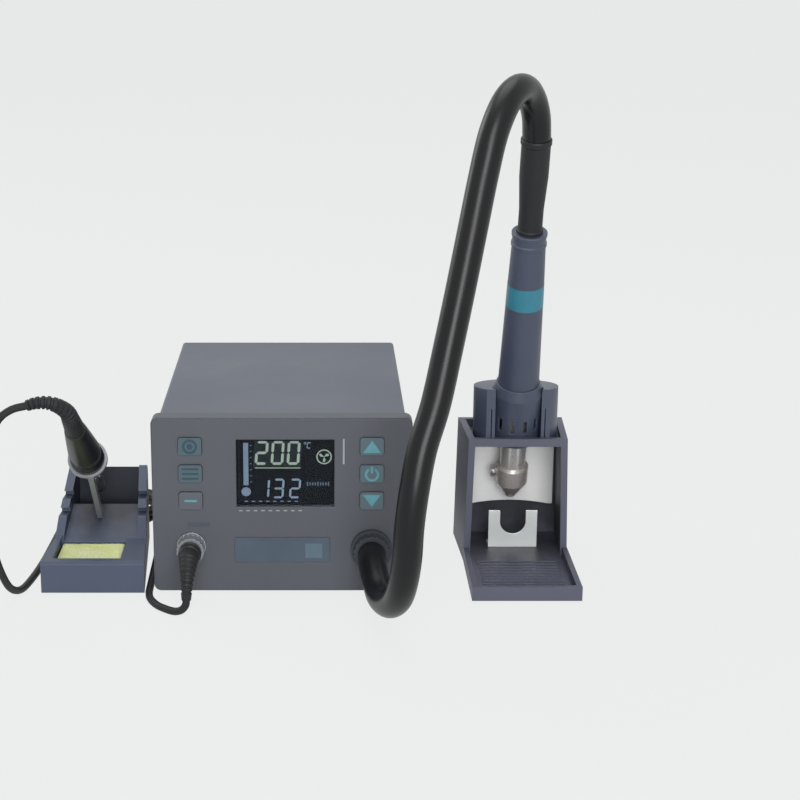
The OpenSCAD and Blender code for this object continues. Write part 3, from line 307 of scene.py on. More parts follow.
def make_materials():
    """Every finish by its short name."""
    m = {}
    # The lighter edges on these finishes are partly rubbed and partly a painted highlight.
    m["bezel"] = finish("bezel_plastic", rgb(79, 82, 90), 0.5, grain=(2600, 0.2), wear_and_highlight=0.35,
                        wear_and_highlight_colour=rgb(138, 142, 152), round_off=0.0006)
    m["cover"] = finish("cover_paint", rgb(85, 92, 106), 0.46, grain=(1500, 0.28), wear_and_highlight=0.3,
                        wear_and_highlight_colour=rgb(146, 152, 162), round_off=0.0005)
    m["tool"] = finish("tool_plastic", rgb(66, 73, 92), 0.44, grain=(2400, 0.16), wear_and_highlight=0.6,
                       wear_and_highlight_colour=rgb(140, 152, 174), round_off=0.0006)
    # The stand and the rest get painted shade inside them, round a centre in the tower and in the
    # rest's back.
    m["stand"] = finish("stand_plastic", rgb(84, 86, 103), 0.5, grain=(1900, 0.2), wear_and_highlight=0.45,
                        wear_and_highlight_colour=rgb(146, 150, 168), round_off=0.0003,
                        painted_shade=((0.158, 0.0, 0.035), 0.075))
    m["rest"] = finish("rest_plastic", rgb(72, 81, 103), 0.48, grain=(1900, 0.3), wear_and_highlight=0.6,
                       wear_and_highlight_colour=rgb(134, 146, 168), round_off=0.0006,
                       painted_shade=((-0.160, 0.006, 0.050), 0.060))
    for tone, colour in (("key", rgb(85, 90, 99)), ("key_left", rgb(73, 91, 100)),
                         ("key_right", rgb(84, 102, 111))):
        m[tone] = finish(tone + "_plastic", colour, 0.58, grain=(1400, 0.3), wear_and_highlight=0.25,
                         wear_and_highlight_colour=scaled(colour, 1.9), round_off=0.0005)
    m["rubber"] = finish("matt_rubber", rgb(30, 31, 33), 0.58, grain=(1700, 0.35),
                         mottle=(40, 0.12), spec=0.35)
    m["hose"] = finish("hose_rubber", rgb(15, 15, 18), 0.3, grain=(900, 0.18),
                       mottle=(16, 0.14), spec=0.32)
    m["black"] = finish("black_plastic", rgb(18, 19, 21), 0.4, grain=(2000, 0.2), mottle=(40, 0.1),
                        wear_and_highlight=0.25, wear_and_highlight_colour=rgb(84, 86, 92), round_off=0.0004)
    m["fitting"] = finish("fitting_plastic", rgb(50, 54, 61), 0.46, grain=(2000, 0.2),
                          mottle=(40, 0.1), wear_and_highlight=0.3, wear_and_highlight_colour=rgb(96, 100, 108),
                          round_off=0.0004)
    m["steel"] = finish("bright_steel", rgb(172, 174, 177), 0.3, metal=0.8, brushed=(1, 1, 0.05),
                        grain=(1600, 0.14), mottle=(26, 0.05), round_off=0.0003)
    m["shield"] = finish("polished_plate", rgb(254, 254, 253), 0.3, metal=0.12,
                         brushed=(0.05, 1, 1), grain=(1500, 0.08), mottle=(34, 0.02),
                         smudge=0.04)
    m["plate"] = finish("satin_plate", rgb(240, 243, 243), 0.34, metal=0.45, brushed=(0.05, 1, 1),
                        grain=(1500, 0.14), mottle=(34, 0.04))
    m["zinc"] = finish("zinc_sheet", rgb(176, 178, 180), 0.42, metal=0.8, mottle=(90, 0.12),
                       grain=(600, 0.1))
    m["aluminium"] = finish("bare_aluminium", rgb(190, 192, 194), 0.36, metal=0.9,
                            mottle=(60, 0.07), grain=(1500, 0.15))
    m["core"] = finish("laminations", rgb(88, 88, 92), 0.5, metal=0.4, brushed=(1, 1, 30),
                       grain=(60, 0.6))
    m["winding"] = finish("winding_tape", rgb(214, 168, 66), 0.45, grain=(500, 0.2), coat=0.2)
    m["board"] = finish("solder_resist", rgb(22, 84, 52), 0.35, grain=(700, 0.2),
                        mottle=(120, 0.2), coat=0.3)
    m["white"] = finish("white_plastic", rgb(218, 219, 216), 0.5, grain=(1800, 0.15))
    m["brass"] = finish("turned_brass", rgb(196, 164, 92), 0.3, metal=0.9, brushed=(1, 0.05, 1),
                        grain=(1200, 0.1))
    m["red"] = finish("rocker_red", rgb(168, 26, 24), 0.3, grain=(1800, 0.08), coat=0.3, wear_and_highlight=0.2,
                      wear_and_highlight_colour=rgb(214, 96, 88), round_off=0.0005)
    m["teal"] = finish("teal_band", rgb(48, 125, 146), 0.4, grain=(1800, 0.12), mottle=(60, 0.08))
    m["ceramic"] = finish("ceramic", rgb(226, 222, 210), 0.7, grain=(900, 0.2))
    m["ring"] = finish("ring_paint", rgb(142, 145, 151), 0.4, metal=0.3, grain=(1500, 0.2),
                       wear_and_highlight=0.3, wear_and_highlight_colour=rgb(190, 193, 198), round_off=0.0004)
    m["tip"] = finish("plated_tip", rgb(150, 120, 96), 0.4, metal=0.8, mottle=(300, 0.3),
                      grain=(900, 0.2))
    m["nozzle"] = heated_steel()
    m["glass"] = tinted_glass()
    m["lcd"] = finish("lcd_panel", rgb(12, 17, 20), 0.34, grain=(2400, 0.004),
                      mottle=(24, 0.18), spec=0.15, smudge=0.03)
    m["green_glow"] = glow("green_glow", rgb(198, 208, 176), 0.88)
    m["green_halo"] = glow("green_halo", rgb(16, 28, 14), 0.35)
    m["blue_glow"] = glow("blue_glow", rgb(172, 190, 196), 0.78)
    m["dim_glow"] = glow("dim_glow", rgb(150, 164, 172), 0.4)
    m["pale_glow"] = glow("pale_glow", rgb(160, 170, 180), 0.72)
    m["sponge"] = sponge_finish()
    # The pale tone also colours a painted highlight on the bezel.
    for tone, colour, blotchy in (("print_dim", rgb(34, 70, 84), 0.12),
                                  ("print_teal", rgb(92, 152, 164), 0.12),
                                  ("pale_print_and_highlight", rgb(153, 157, 163), 0.1),
                                  ("print_dark", rgb(70, 76, 88), 0.1)):
        m[tone] = finish(tone, colour, 0.55, grain=(1600, 0.1), mottle=(120, blotchy))
    m["strip"] = finish("title_strip", rgb(66, 82, 98), 0.36, grain=(1600, 0.06), mottle=(60, 0.1),
                        coat=0.2)
    m["strip_pale"] = finish("strip_field", rgb(86, 106, 122), 0.36, grain=(1600, 0.06),
                             mottle=(60, 0.1))
    return m


make_camera()
MATERIALS = make_materials()


# Mesh making

def add_mesh(name, verts, faces, material, body, smooth=True):
    """A visible piece with its finish, joined to its body when one is given."""
    data = bpy.data.meshes.new(name)
    data.from_pydata([tuple(v) for v in verts], [], faces)
    data.update()
    fix = bmesh.new()
    fix.from_mesh(data)
    bmesh.ops.recalc_face_normals(fix, faces=fix.faces)
    fix.to_mesh(data)
    fix.free()
    data.materials.append(MATERIALS[material])
    if smooth:
        data.shade_smooth()
        data.set_sharp_from_angle(angle=math.radians(35))
    piece = bpy.data.objects.new(name, data)
    link(piece)
    if body:
        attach(piece, body)
    return piece


def smooth_line(points, step=0.004):
    """Points close together on a smooth curve through the given ones."""
    pts = [Vector(p) for p in points]
    pts = [2 * pts[0] - pts[1]] + pts + [2 * pts[-1] - pts[-2]]
    line = []
    for a, b, c, d in zip(pts, pts[1:], pts[2:], pts[3:]):
        count = max(2, round((c - b).length / step))
        for i in range(count):
            t = i / count
            line.append(0.5 * (2 * b + (c - a) * t + (2 * a - 5 * b + 4 * c - d) * t * t
                               + (3 * b - a - 3 * c + d) * t ** 3))
    return line + [pts[-2]]


def ring_faces(rows, sides, base=0):
    """Quads between each ring of points and the next."""
    faces = []
    for i in range(rows - 1):
        a, b = base + i * sides, base + (i + 1) * sides
        for k in range(sides):
            m = (k + 1) % sides
            faces.append((a + k, a + m, b + m, b + k))
    return faces


def cap(row, sides, base=0):
    """The face that closes one ring."""
    return tuple(base + row * sides + k for k in range(sides))


def tube(line, radius, sides):
    """Vertices and faces of a closed tube along a line.

    radius is one number, or a list with one for each point.
    """
    radii = radius if isinstance(radius, list) else [radius] * len(line)
    verts = []
    across = None
    for i, point in enumerate(line):
        along = (line[min(i + 1, len(line) - 1)] - line[max(i - 1, 0)]).normalized()
        if across is None:
            across = along.orthogonal().normalized()
        across = (across - along * across.dot(along)).normalized()
        other = along.cross(across)
        for k in range(sides):
            a = 2 * math.pi * k / sides
            verts.append(point + radii[i] * (math.cos(a) * across + math.sin(a) * other))
    ends = [cap(0, sides), cap(len(line) - 1, sides)]
    return verts, ring_faces(len(line), sides) + ends


def lathe(profile, axis, sides):
    """A turned body: the profile is (radius, height) in millimetres, closed at its ends."""
    verts = []
    for r, z in profile:
        for k in range(sides):
            a = 2 * math.pi * k / sides
            verts.append(axis @ Vector((r * math.cos(a) * MM, r * math.sin(a) * MM, z * MM)))
    ends = [cap(0, sides), cap(len(profile) - 1, sides)]
    return verts, ring_faces(len(profile), sides) + ends


# Cords first: the air hose and the iron's cord. The routes are part.scad's, in millimetres.

HOSE_D, HOSE_SIDES = 20, 28
CORD_D, CORD_SIDES = 5.5, 14
HOSE_ROUTE = [
    (45, -109, 36), (45, -125, 34), (47, -142, 29), (50, -160, 24), (55, -178, 26),
    (60, -194, 36), (63, -206, 52), (65, -213, 72), (66, -216, 95), (69, -215, 120),
    (74, -209, 146), (83, -200, 174), (91, -189, 208), (99, -177, 243), (107, -165, 280),
    (115, -153, 317), (121.5, -145, 343), (130, -133, 361), (139, -119, 369),
    (146.5, -105, 368), (152.5, -94, 360), (156.5, -86, 348), (158, -80.8, 332.8)]
PLUG_BOOT_ROUTE = [
    (-86, -120, 39), (-86, -127, 38.2), (-86, -133, 35.8), (-86.1, -138, 31.4),
    (-86.4, -141.2, 26), (-86.7, -142.7, 20.5), (-87, -143, 14.5)]
PLUG_ROUTE = [
    (-87, -143, 14.5), (-87.3, -142.8, 11.4), (-88.5, -142.1, 8.5), (-90.6, -140.7, 6),
    (-93.5, -138.9, 4.2), (-97.5, -136.2, 3.2), (-103, -131.6, 3), (-108.5, -126, 3),
    (-112.8, -119, 3), (-116, -111, 3), (-117.6, -101, 3), (-118, -87, 3), (-118.5, -47, 3),
    (-119, -7, 3), (-119, 33, 3), (-120, 63, 3)]
IRON_ROUTE = [
    (-194, 74, 7.6), (-198, 60, 5), (-200.5, 48, 3.2), (-202.5, 38, 3), (-203.5, 3, 3),
    (-205, -37, 3), (-208, -72, 3), (-212, -97, 4), (-216, -115, 12), (-219, -128, 27),
    (-222, -137, 47), (-223, -143, 70), (-223, -147, 95), (-221, -149, 118),
    (-218, -149, 137), (-212, -148, 149), (-203, -147, 155.5), (-193, -146.6, 158)]
COIL_CENTRE = Vector((-158, 85, 0))
COIL_TURNS = 3.5
COIL_R = 34.75
COIL_FLOOR = 3
TURN_STEPS = 24
# The coil's tie: half the width and height of its loop, its own radius, its middle's height
TIE_HALF = (6.6, 5.7)
TIE_R = 0.6
TIE_Z = 6.4
TIE_STEPS, TIE_SIDES = 32, 8


def eased(a, start, end):
    """From 0 to 1 between two angles, smoothly."""
    t = min(1.0, max(0.0, (a - start) / (end - start)))
    return t * t * (3 - 2 * t)


def coil_route():
    """Outer and inner turn on the desk, then the same on top of them."""
    points = []
    steps = round(COIL_TURNS * TURN_STEPS)
    for i in range(steps + 1):
        a = 360 * COIL_TURNS * i / steps
        r = COIL_R - CORD_D * eased(a, 300, 360) + CORD_D * eased(a, 900, 960)
        z = COIL_FLOOR + CORD_D * eased(a, 600, 660)
        points.append((COIL_CENTRE.x + r * math.cos(math.radians(a)),
                       COIL_CENTRE.y + r * math.sin(math.radians(a)), z))
    return points


def make_hose():
    """Air hose from the case to the handpiece."""
    line = smooth_line([Vector(p) * MM for p in HOSE_ROUTE])
    verts, faces = tube(line, HOSE_D / 2 * MM, HOSE_SIDES)
    hose = add_mesh("air_hose_tube", verts, faces, "hose", None)
    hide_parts("air_hose")
    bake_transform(hose)


def make_iron_cord():
    """Cord from the plug through its tied coil to the iron."""
    line = smooth_line([Vector(p) * MM for p in PLUG_ROUTE + coil_route() + IRON_ROUTE])
    verts, faces = tube(line, CORD_D / 2 * MM, CORD_SIDES)
    cord = add_mesh("iron_cord", verts, faces, "rubber", None)
    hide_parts("cord_to_plug", "cord_coil", "cord_to_iron")
    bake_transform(cord)
    tie_at = (COIL_CENTRE + Vector((0, COIL_R - CORD_D / 2, TIE_Z))) * MM
    angles = [2 * math.pi * i / TIE_STEPS for i in range(TIE_STEPS + 1)]
    loop = [tie_at + Vector((0, math.cos(a) * TIE_HALF[0], math.sin(a) * TIE_HALF[1])) * MM
            for a in angles]
    verts, faces = tube(loop, TIE_R * MM, TIE_SIDES)
    tie = add_mesh("coil_tie", verts, faces, "rubber", "root")


make_hose()
make_iron_cord()


# Moulded and soft pieces that need more form than their solids

# Length between two points of a boot's line, in metres
BOOT_STEP = 0.0005
BOOT_SIDES = 32


def spaced(points, radii):
    """A boot's smooth line with a radius at each point, in metres."""
    line, widths = [], []
    fine = smooth_line([Vector(p) * MM for p in points], BOOT_STEP)
    ends = [0.0]
    for a, b in zip(points, points[1:]):
        ends.append(ends[-1] + (Vector(b) - Vector(a)).length * MM)
    gone = 0.0
    for i, point in enumerate(fine):
        if i:
            gone += (point - fine[i - 1]).length
        k = 0
        while k < len(ends) - 2 and gone > ends[k + 1]:
            k += 1
        t = min(1.0, (gone - ends[k]) / (ends[k + 1] - ends[k]))
        line.append(point)
        widths.append((radii[k] + (radii[k + 1] - radii[k]) * t) * MM)
    return line, widths


def grooved(widths, first, last, pitch, cut, deep):
    """Radii with even grooves between two lengths along the line, given in millimetres."""
    result = []
    for i, width in enumerate(widths):
        at = i * BOOT_STEP / MM
        in_groove = first < at < last and (at - first) % pitch < cut
        result.append(width - (deep * MM if in_groove else 0))
    return result


BOOT_ROUTE = [tuple(IRON_AXIS @ Vector((0, 0, h * MM)) / MM) for h in (70, 78, 92, 104)] + [
    (-168, -142, 154), (-172.5, -145.5, 158), (-179, -147, 160.3), (-186.5, -147, 160),
    (-193, -146.6, 158)]
BOOT_RADII = [7.1, 7, 6.4, 5.9, 5.6, 5.2, 4.8, 4.3, 3.8]
PLUG_BOOT_RADII = [7, 6.8, 6.2, 5.4, 4.6, 4, 3.4]
# Radius and depth out of the socket, from the end inside it
PLUG_PROFILE = [
    (0, -9.9), (7.1, -9.9), (7.1, 15.9), (7.9, 16.1), (8.2, 16.6), (8.2, 19.2), (7.8, 19.5),
    (7.8, 20.1), (8.2, 20.4), (8.2, 22.4), (7.6, 23.6), (7.0, 24.2), (0, 24.2)]


def make_boot():
    """Bend relief of the iron: a rubber sleeve with ribs round it."""
    line, widths = spaced(BOOT_ROUTE, BOOT_RADII)
    verts, faces = tube(line, grooved(widths, 26, 74, 3.6, 1.3, 0.8), BOOT_SIDES)
    boot = add_mesh("ribbed_boot", verts, faces, "rubber", "iron")
    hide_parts("iron_boot")


def make_plug():
    """Cord plug of the iron: a body that fits the socket and a drooping boot with ribs."""
    socket = Matrix.Translation((-0.086, FRONT_Y, 0.039)) @ turn(90, "X")
    verts, faces = lathe(PLUG_PROFILE, socket, 40)
    piece = add_mesh("plug_body", verts, faces, "black", "root")
    line, widths = spaced(PLUG_BOOT_ROUTE, PLUG_BOOT_RADII)
    verts, faces = tube(line, grooved(widths, 9, 33, 3.2, 1.2, 0.6), BOOT_SIDES)
    boot = add_mesh("plug_boot", verts, faces, "rubber", "root")
    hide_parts("iron_plug")
    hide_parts("iron_plug")


# The sponge, in metres: its corners, and how deep its dents and pores are, with their scales
SPONGE_CORNER = 0.0022
DENT_DEEP, DENT_SCALE = 0.00035, 110
PORE_DEEP, PORE_SCALE = 0.0007, 520


def make_sponge():
    """Cellulose sponge with rubbed, rounded corners and an uneven surface."""
    lo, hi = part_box("sponge")
    size = hi - lo
    middle = (lo + hi) / 2
    mesh = bmesh.new()
    bmesh.ops.create_cube(mesh, size=1.0)
    bmesh.ops.subdivide_edges(mesh, edges=mesh.edges[:], cuts=23, use_grid_fill=True)
    half = size / 2 - Vector((1, 1, 1)) * SPONGE_CORNER
    for v in mesh.verts:
        place = Vector(v.co[i] * size[i] for i in range(3))
        core = Vector(max(-half[i], min(half[i], place[i])) for i in range(3))
        out = place - core
        if out.length > 0:
            place = core + out.normalized() * SPONGE_CORNER
        coarse = noise.noise(place * DENT_SCALE)
        pores = noise.noise(place * PORE_SCALE + Vector((3, 1, 2)))
        dent = DENT_DEEP * (0.5 + 0.5 * coarse) + PORE_DEEP * max(0.0, pores)
        v.co = middle + place - (place - core * 0.9).normalized() * dent
    data = bpy.data.meshes.new("sponge_foam")
    mesh.to_mesh(data)
    mesh.free()
    data.materials.append(MATERIALS["sponge"])
    data.shade_smooth()
    foam = bpy.data.objects.new("sponge_foam", data)
    link(foam)
    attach(foam, "sponge")
    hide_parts("sponge")


make_boot()
make_plug()
make_sponge()


# Stage and light

# How much of the floor's seen colour is the flat one; the rest keeps the shadow
FLAT_SHARE = 0.93
# Half the floor's side, in metres
FLOOR_HALF = 20
# Strength of the world's light, and of its colour where it is seen
WORLD_LIGHT, WORLD_SEEN = 0.24, 1.0
# Name, place, aim, size in metres and power in watts
LAMPS = [
    ("key", (0.2, -2.7, 2.3), (0, 0, 0.1), 1.6, 33),
    ("fill", (0.25, -2.6, 0.8), (0.08, 0, 0.08), 1.4, 30),
    ("top", (0.0, 0.3, 1.8), (0, 0, 0), 1.4, 9),
    ("back", (-2.3, 1.6, 1.5), (0, 0, 0.1), 1.7, 22),
]


def make_stage():
    """A floor that shows its plain colour and the object's shadow."""
    n = Nodes("floor")
    diffuse = n.add("BsdfDiffuse", {"Color": PALE})
    flat = n.add("Emission", {"Color": PALE, "Strength": 1.0})
    path = n.add("LightPath").outputs
    seen = n.math("MAXIMUM", path["Is Camera Ray"], path["Is Glossy Ray"])
    seen = n.math("MAXIMUM", seen, path["Is Transmission Ray"])
    share = n.span(seen, 0.0, 1.0, 0.0, FLAT_SHARE)
    mix = n.add("MixShader", {0: share, 1: diffuse.outputs[0], 2: flat.outputs[0]})
    n.join(mix.outputs[0], n.out.inputs["Surface"])
    data = bpy.data.meshes.new("floor")
    data.from_pydata([(x * FLOOR_HALF, y * FLOOR_HALF, 0)
                      for x, y in ((-1, -1), (1, -1), (1, 1), (-1, 1))], [], [(0, 1, 2, 3)])
    data.materials.append(n.material)
    floor = bpy.data.objects.new("floor", data)
    link(floor)


def make_world():
    """A dim studio that is pale wherever a ray sees it."""
    world = bpy.data.worlds.new("studio")
    bpy.context.scene.world = world
    world.use_nodes = True
    tree = world.node_tree
    background = tree.nodes["Background"]
    background.inputs["Color"].default_value = PALE
    path = tree.nodes.new("ShaderNodeLightPath").outputs
    seen = path["Is Camera Ray"]
    for kind in ("Is Transmission Ray", "Is Glossy Ray"):
        either = tree.nodes.new("ShaderNodeMath")
        either.operation = "MAXIMUM"
        tree.links.new(seen, either.inputs[0])
        tree.links.new(path[kind], either.inputs[1])
        seen = either.outputs[0]
    strength = tree.nodes.new("ShaderNodeMapRange")
    tree.links.new(seen, strength.inputs["Value"])
    strength.inputs["To Min"].default_value = WORLD_LIGHT
    strength.inputs["To Max"].default_value = WORLD_SEEN
    tree.links.new(strength.outputs["Result"], background.inputs["Strength"])


def make_lamps():
    """Soft round lamps: two in front, one above and one behind."""
    for name, place, aim, size, power in LAMPS:
        data = bpy.data.lights.new(name, "AREA")
        data.shape = "DISK"
        data.size = size
        data.energy = power
        lamp = bpy.data.objects.new(name, data)
        lamp.location = place
        way = Vector(aim) - Vector(place)
        lamp.rotation_euler = way.to_track_quat("-Z", "Y").to_euler()
        link(lamp)


bpy.context.scene.view_settings.view_transform = "Standard"
make_stage()
make_world()
make_lamps()


# Finishes of the CAD nodes

NODE_FINISH = {
    "bezel": ["front_bezel"],
    "cover": ["top_cover", "rear_panel"],
    "zinc": ["chassis"],
    "glass": ["display_window"],
    "lcd": ["lcd_module"],
    "board": ["display_board", "control_board"],
    "key": ["key_l3"],
    "key_left": ["key_l1", "key_l2"],
    "key_right": ["key_r1", "key_r2", "key_r3"],
    "rubber": ["station_feet", "holder_feet", "iron_stand_feet", "hose_sleeve", "iron_boot"],
    "core": ["transformer_core"],
    "winding": ["transformer_winding"],
    "aluminium": ["heatsink", "blower_motor"],
    "fitting": ["hose_fitting"],
    "black": ["blower_housing", "air_duct", "mains_inlet", "rocker_frame",
              "fuse_holder", "iron_grip", "iron_plug"],
    "white": ["impeller"],
    "steel": ["iron_socket", "iron_collar", "iron_barrel", "case_screws", "nozzle_screw"],
    "shield": ["heat_shield"],
    "plate": ["nozzle_rest"],
    "nozzle": ["heater_tube", "nozzle"],
    "red": ["power_rocker"],
    "brass": ["earth_socket"],
    "stand": ["holder_base"],
    "rest": ["iron_stand"],
    "tool": ["cradle", "grip", "vent_shroud"],
    "teal": ["grip_band"],
    "ceramic": ["heater_core"],
    "ring": ["iron_ring", "plug_ring"],
    "tip": ["iron_tip"],
    "sponge": ["sponge"],
}


def dress_nodes():
    """Give each CAD node its finish."""
    for finish_name, names in NODE_FINISH.items():
        for name in names:
            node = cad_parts[name]
            if node.material_slots:
                for material_slot in node.material_slots:
                    material_slot.material = MATERIALS[finish_name]
            else:
                node.data.materials.append(MATERIALS[finish_name])


dress_nodes()

# Widths of the rounded edges of moulded pieces, in millimetres
EDGE_ROUND = {
    "front_bezel": 1.2, "holder_base": 0.8, "iron_stand": 0.8, "cradle": 0.8,
    "key_l1": 0.6, "key_l2": 0.6, "key_l3": 0.6, "key_r1": 0.6, "key_r2": 0.6, "key_r3": 0.6,
    "heat_shield": 0.3, "nozzle_rest": 0.3, "power_rocker": 0.5,
}


def round_edges():
    """Round the sharp edges of moulded pieces with modifiers."""
    for name, width in EDGE_ROUND.items():
        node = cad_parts[name]
        weld = node.modifiers.new("weld", "WELD")
        weld.merge_threshold = 0.00001
        bevel = node.modifiers.new("bevel", "BEVEL")
        bevel.width = width * MM
        bevel.segments = 3
        bevel.limit_method = "ANGLE"
        bevel.angle_limit = math.radians(40)
        bevel.harden_normals = True


round_edges()


# Front panel: places are (x, z) in millimetres as in part.scad, thicknesses in millimetres

FACE_CENTRE, FACE_SIZE = (-17.5, 93.5), (66.8, 46.8)
FACE_BEHIND = 3.9
# Thicknesses of the display's face, of the halo on it and of the lit marks
FACE_THICK, HALO_THICK, LIT_THICK = 0.1, 0.05, 0.08
# Upper reading: figure and x, then height of the row, and the mark under it
UPPER, UPPER_Z, UPPER_LINE = (("2", -34.5), ("0", -23), ("0", -11.5)), 108, (-23, 96.6, 33, 0.7)
LOWER, LOWER_Z = (("1", -33), ("3", -22.5), ("2", -10.5)), 81
FAN_CENTRE, FAN_BLADES = Vector((10.5, 105)), 3
BULB_X = -46
# Columns of keys, and how far their faces stand in front of the bezel's
KEY_LEFT, KEY_RIGHT = -86, 45
KEY_PROUD = 1.42
# The prints on the bezel start just off its face; then their thickness, the keys' symbols',
# the title strip's, and that of the field on it
PRINT_OFF, PRINT_THICK, SYMBOL_THICK, STRIP_THICK, FIELD_THICK = 0.02, 0.04, 0.05, 0.45, 0.06
# How far the title strip's foot lies behind the bezel's face
STRIP_BEHIND = 0.6


def print_shape(name, outlines, y, thick, material, body):
    """Flat marks that face the front at y, which is in metres: one outline for each mark."""
    verts, faces = [], []
    for outline in outlines:
        base, count = len(verts), len(outline)
        for depth in (0, thick):
            verts += [(x * MM, y - depth * MM, z * MM) for x, z in outline]
        faces.append(tuple(range(base, base + count)))
        faces.append(tuple(range(base + count, base + 2 * count)))
        for i in range(count):
            k = (i + 1) % count
            faces.append((base + i, base + k, base + count + k, base + count + i))
    return add_mesh(name, verts, faces, material, body, smooth=False)


def bar(x, z, w, h, lean=0.0):
    """Rectangle round a centre; lean shifts its top to the right."""
    return [(x - w / 2 - lean / 2, z - h / 2), (x + w / 2 - lean / 2, z - h / 2),
            (x + w / 2 + lean / 2, z + h / 2), (x - w / 2 + lean / 2, z + h / 2)]


def disc(x, z, r, sides=28):
    """Outline of a round mark."""
    return [(x + r * math.cos(2 * math.pi * k / sides), z + r * math.sin(2 * math.pi * k / sides))
            for k in range(sides)]


def hoop(x, z, r_out, r_in, sides=24, skip=()):
    """A ring as short quads, without those that are skipped."""
    quads = []
    for k in [k for k in range(sides) if k not in skip]:
        a, b = 2 * math.pi * k / sides, 2 * math.pi * (k + 1) / sides
        quads.append([(x + r * math.cos(t), z + r * math.sin(t))
                      for r, t in ((r_in, a), (r_out, a), (r_out, b), (r_in, b))])
    return quads


SEGMENTS = {"0": "abcdef", "1": "bc", "2": "abdeg", "3": "abcdg", "C": "adef"}


def digit(char, x, z, w, h, t):
    """Outlines of a seven-segment figure round a centre, leaning a little to the right."""
    lean = 0.07
    ends = {"a": ((-1, 1), (1, 1)), "b": ((1, 1), (1, 0)), "c": ((1, 0), (1, -1)),
            "d": ((-1, -1), (1, -1)), "e": ((-1, 0), (-1, -1)), "f": ((-1, 1), (-1, 0)),
            "g": ((-1, 0), (1, 0))}
    half_w, half_h, gap = (w - t) / 2, (h - t) / 2, 0.12 * t
    outlines = []
    for name in SEGMENTS[char]:
        (ax, az), (bx, bz) = ends[name]
        a = Vector((ax * half_w, az * half_h))
        b = Vector((bx * half_w, bz * half_h))
        along = (b - a).normalized()
        side = Vector((-along.y, along.x)) * t / 2
        a, b = a + along * gap, b - along * gap
        six = [a, a + along * t / 2 + side, b - along * t / 2 + side, b,
               b - along * t / 2 - side, a + along * t / 2 - side]
        outlines.append([(x + p.x + lean * p.y, z + p.y) for p in six])
    return outlines


def fan_sign():
    """A ring with short blades round its centre."""
    marks = hoop(FAN_CENTRE.x, FAN_CENTRE.y, 5.6, 4.7)
    for k in range(FAN_BLADES):
        a = math.radians(360 / FAN_BLADES * k + 20)
        out = Vector((math.cos(a), math.sin(a)))
        side = Vector((-out.y, out.x))
        blade = [(0, 0), (2.2, 1.6), (4.0, 0.9), (3.4, -0.4)]
        marks.append([tuple(FAN_CENTRE + out * far + side * wide) for far, wide in blade])
    return marks


def make_display():
    """The display behind its window, with plain readings and signs on it."""
    y = FRONT_Y + FACE_BEHIND * MM
    print_shape("lcd_face", [bar(*FACE_CENTRE, *FACE_SIZE)], y, FACE_THICK, "lcd", "root")
    y -= FACE_THICK * MM
    halo, upper = [], []
    for char, x in UPPER:
        halo.append(bar(x, UPPER_Z, 11.4, 21, 1.2))
        upper += digit(char, x, UPPER_Z, 9.2, 18, 1.9)
    print_shape("lcd_upper_halo", halo, y, HALO_THICK, "green_halo", "root")
    upper.append(bar(*UPPER_LINE))
    upper += fan_sign()
    y -= HALO_THICK * MM
    print_shape("lcd_upper", upper, y, LIT_THICK, "green_glow", "root")
    lower = []
    for char, x in LOWER:
        lower += digit(char, x, LOWER_Z, 8, 15, 1.5)
    # Degrees, beside the upper reading but in the lower one's colour
    lower += hoop(-3.2, 115.2, 0.9, 0.5, 12) + digit("C", -0.4, 113.6, 3.2, 4.6, 0.7)
    print_shape("lcd_lower", lower, y, LIT_THICK, "blue_glow", "root")
    level = [bar(-1.5 + 1.9 * k, 84.5, 1.0, 3.1 if k % 4 == 0 else 2.2) for k in range(9)]
    print_shape("lcd_level", level, y, LIT_THICK, "dim_glow", "root")
    scale = [bar(BULB_X, 99.5, 3.6, 32), disc(BULB_X, 78.5, 3.4)]
    scale += [bar(-42.4, 86 + 4.6 * k, 1.2, 0.5) for k in range(7)]
    scale += [bar(BULB_X + 5.2 * k, 71.2, 2.4, 0.8) for k in range(8)]
    print_shape("lcd_scale", scale, y, LIT_THICK, "pale_glow", "root")


# Case screws in the station's millimetres: four at the back, two on each side
SCREW_REAR_X, SCREW_REAR_Y, SCREW_REAR_Z = 80.8, 241, (18, 119.7)
SCREW_SIDE_X, SCREW_SIDE_Y, SCREW_SIDE_Z = 90, (34, 225), 14
# Their heads, in millimetres
HEAD_R, HEAD_TOP, HEAD_FALL = 2.9, 2.1, 0.75
HEAD_RINGS, HEAD_SIDES = 14, 48
CROSS_HALF, CROSS_REACH, CROSS_DEEP = 0.42, 1.75, 0.9


def pan_head(verts, faces, place):
    """A domed screw head with a cross recess, on local +Z."""
    base = len(verts)
    around = [2 * math.pi * k / HEAD_SIDES for k in range(HEAD_SIDES)]
    for i in range(HEAD_RINGS + 1):
        r = HEAD_R * i / HEAD_RINGS
        for a in around:
            x, y = r * math.cos(a), r * math.sin(a)
            dome = HEAD_TOP - HEAD_FALL * (r / HEAD_R) ** 3
            if r < CROSS_REACH and min(abs(x), abs(y)) < CROSS_HALF:
                dome -= CROSS_DEEP * (1 - 0.5 * r / CROSS_REACH)
            verts.append(place @ (Vector((x, y, dome)) * MM))
    for a in around:
        verts.append(place @ (Vector((HEAD_R * math.cos(a), HEAD_R * math.sin(a), 0)) * MM))
    faces += ring_faces(HEAD_RINGS + 2, HEAD_SIDES, base)
    faces.append(cap(HEAD_RINGS + 1, HEAD_SIDES, base))


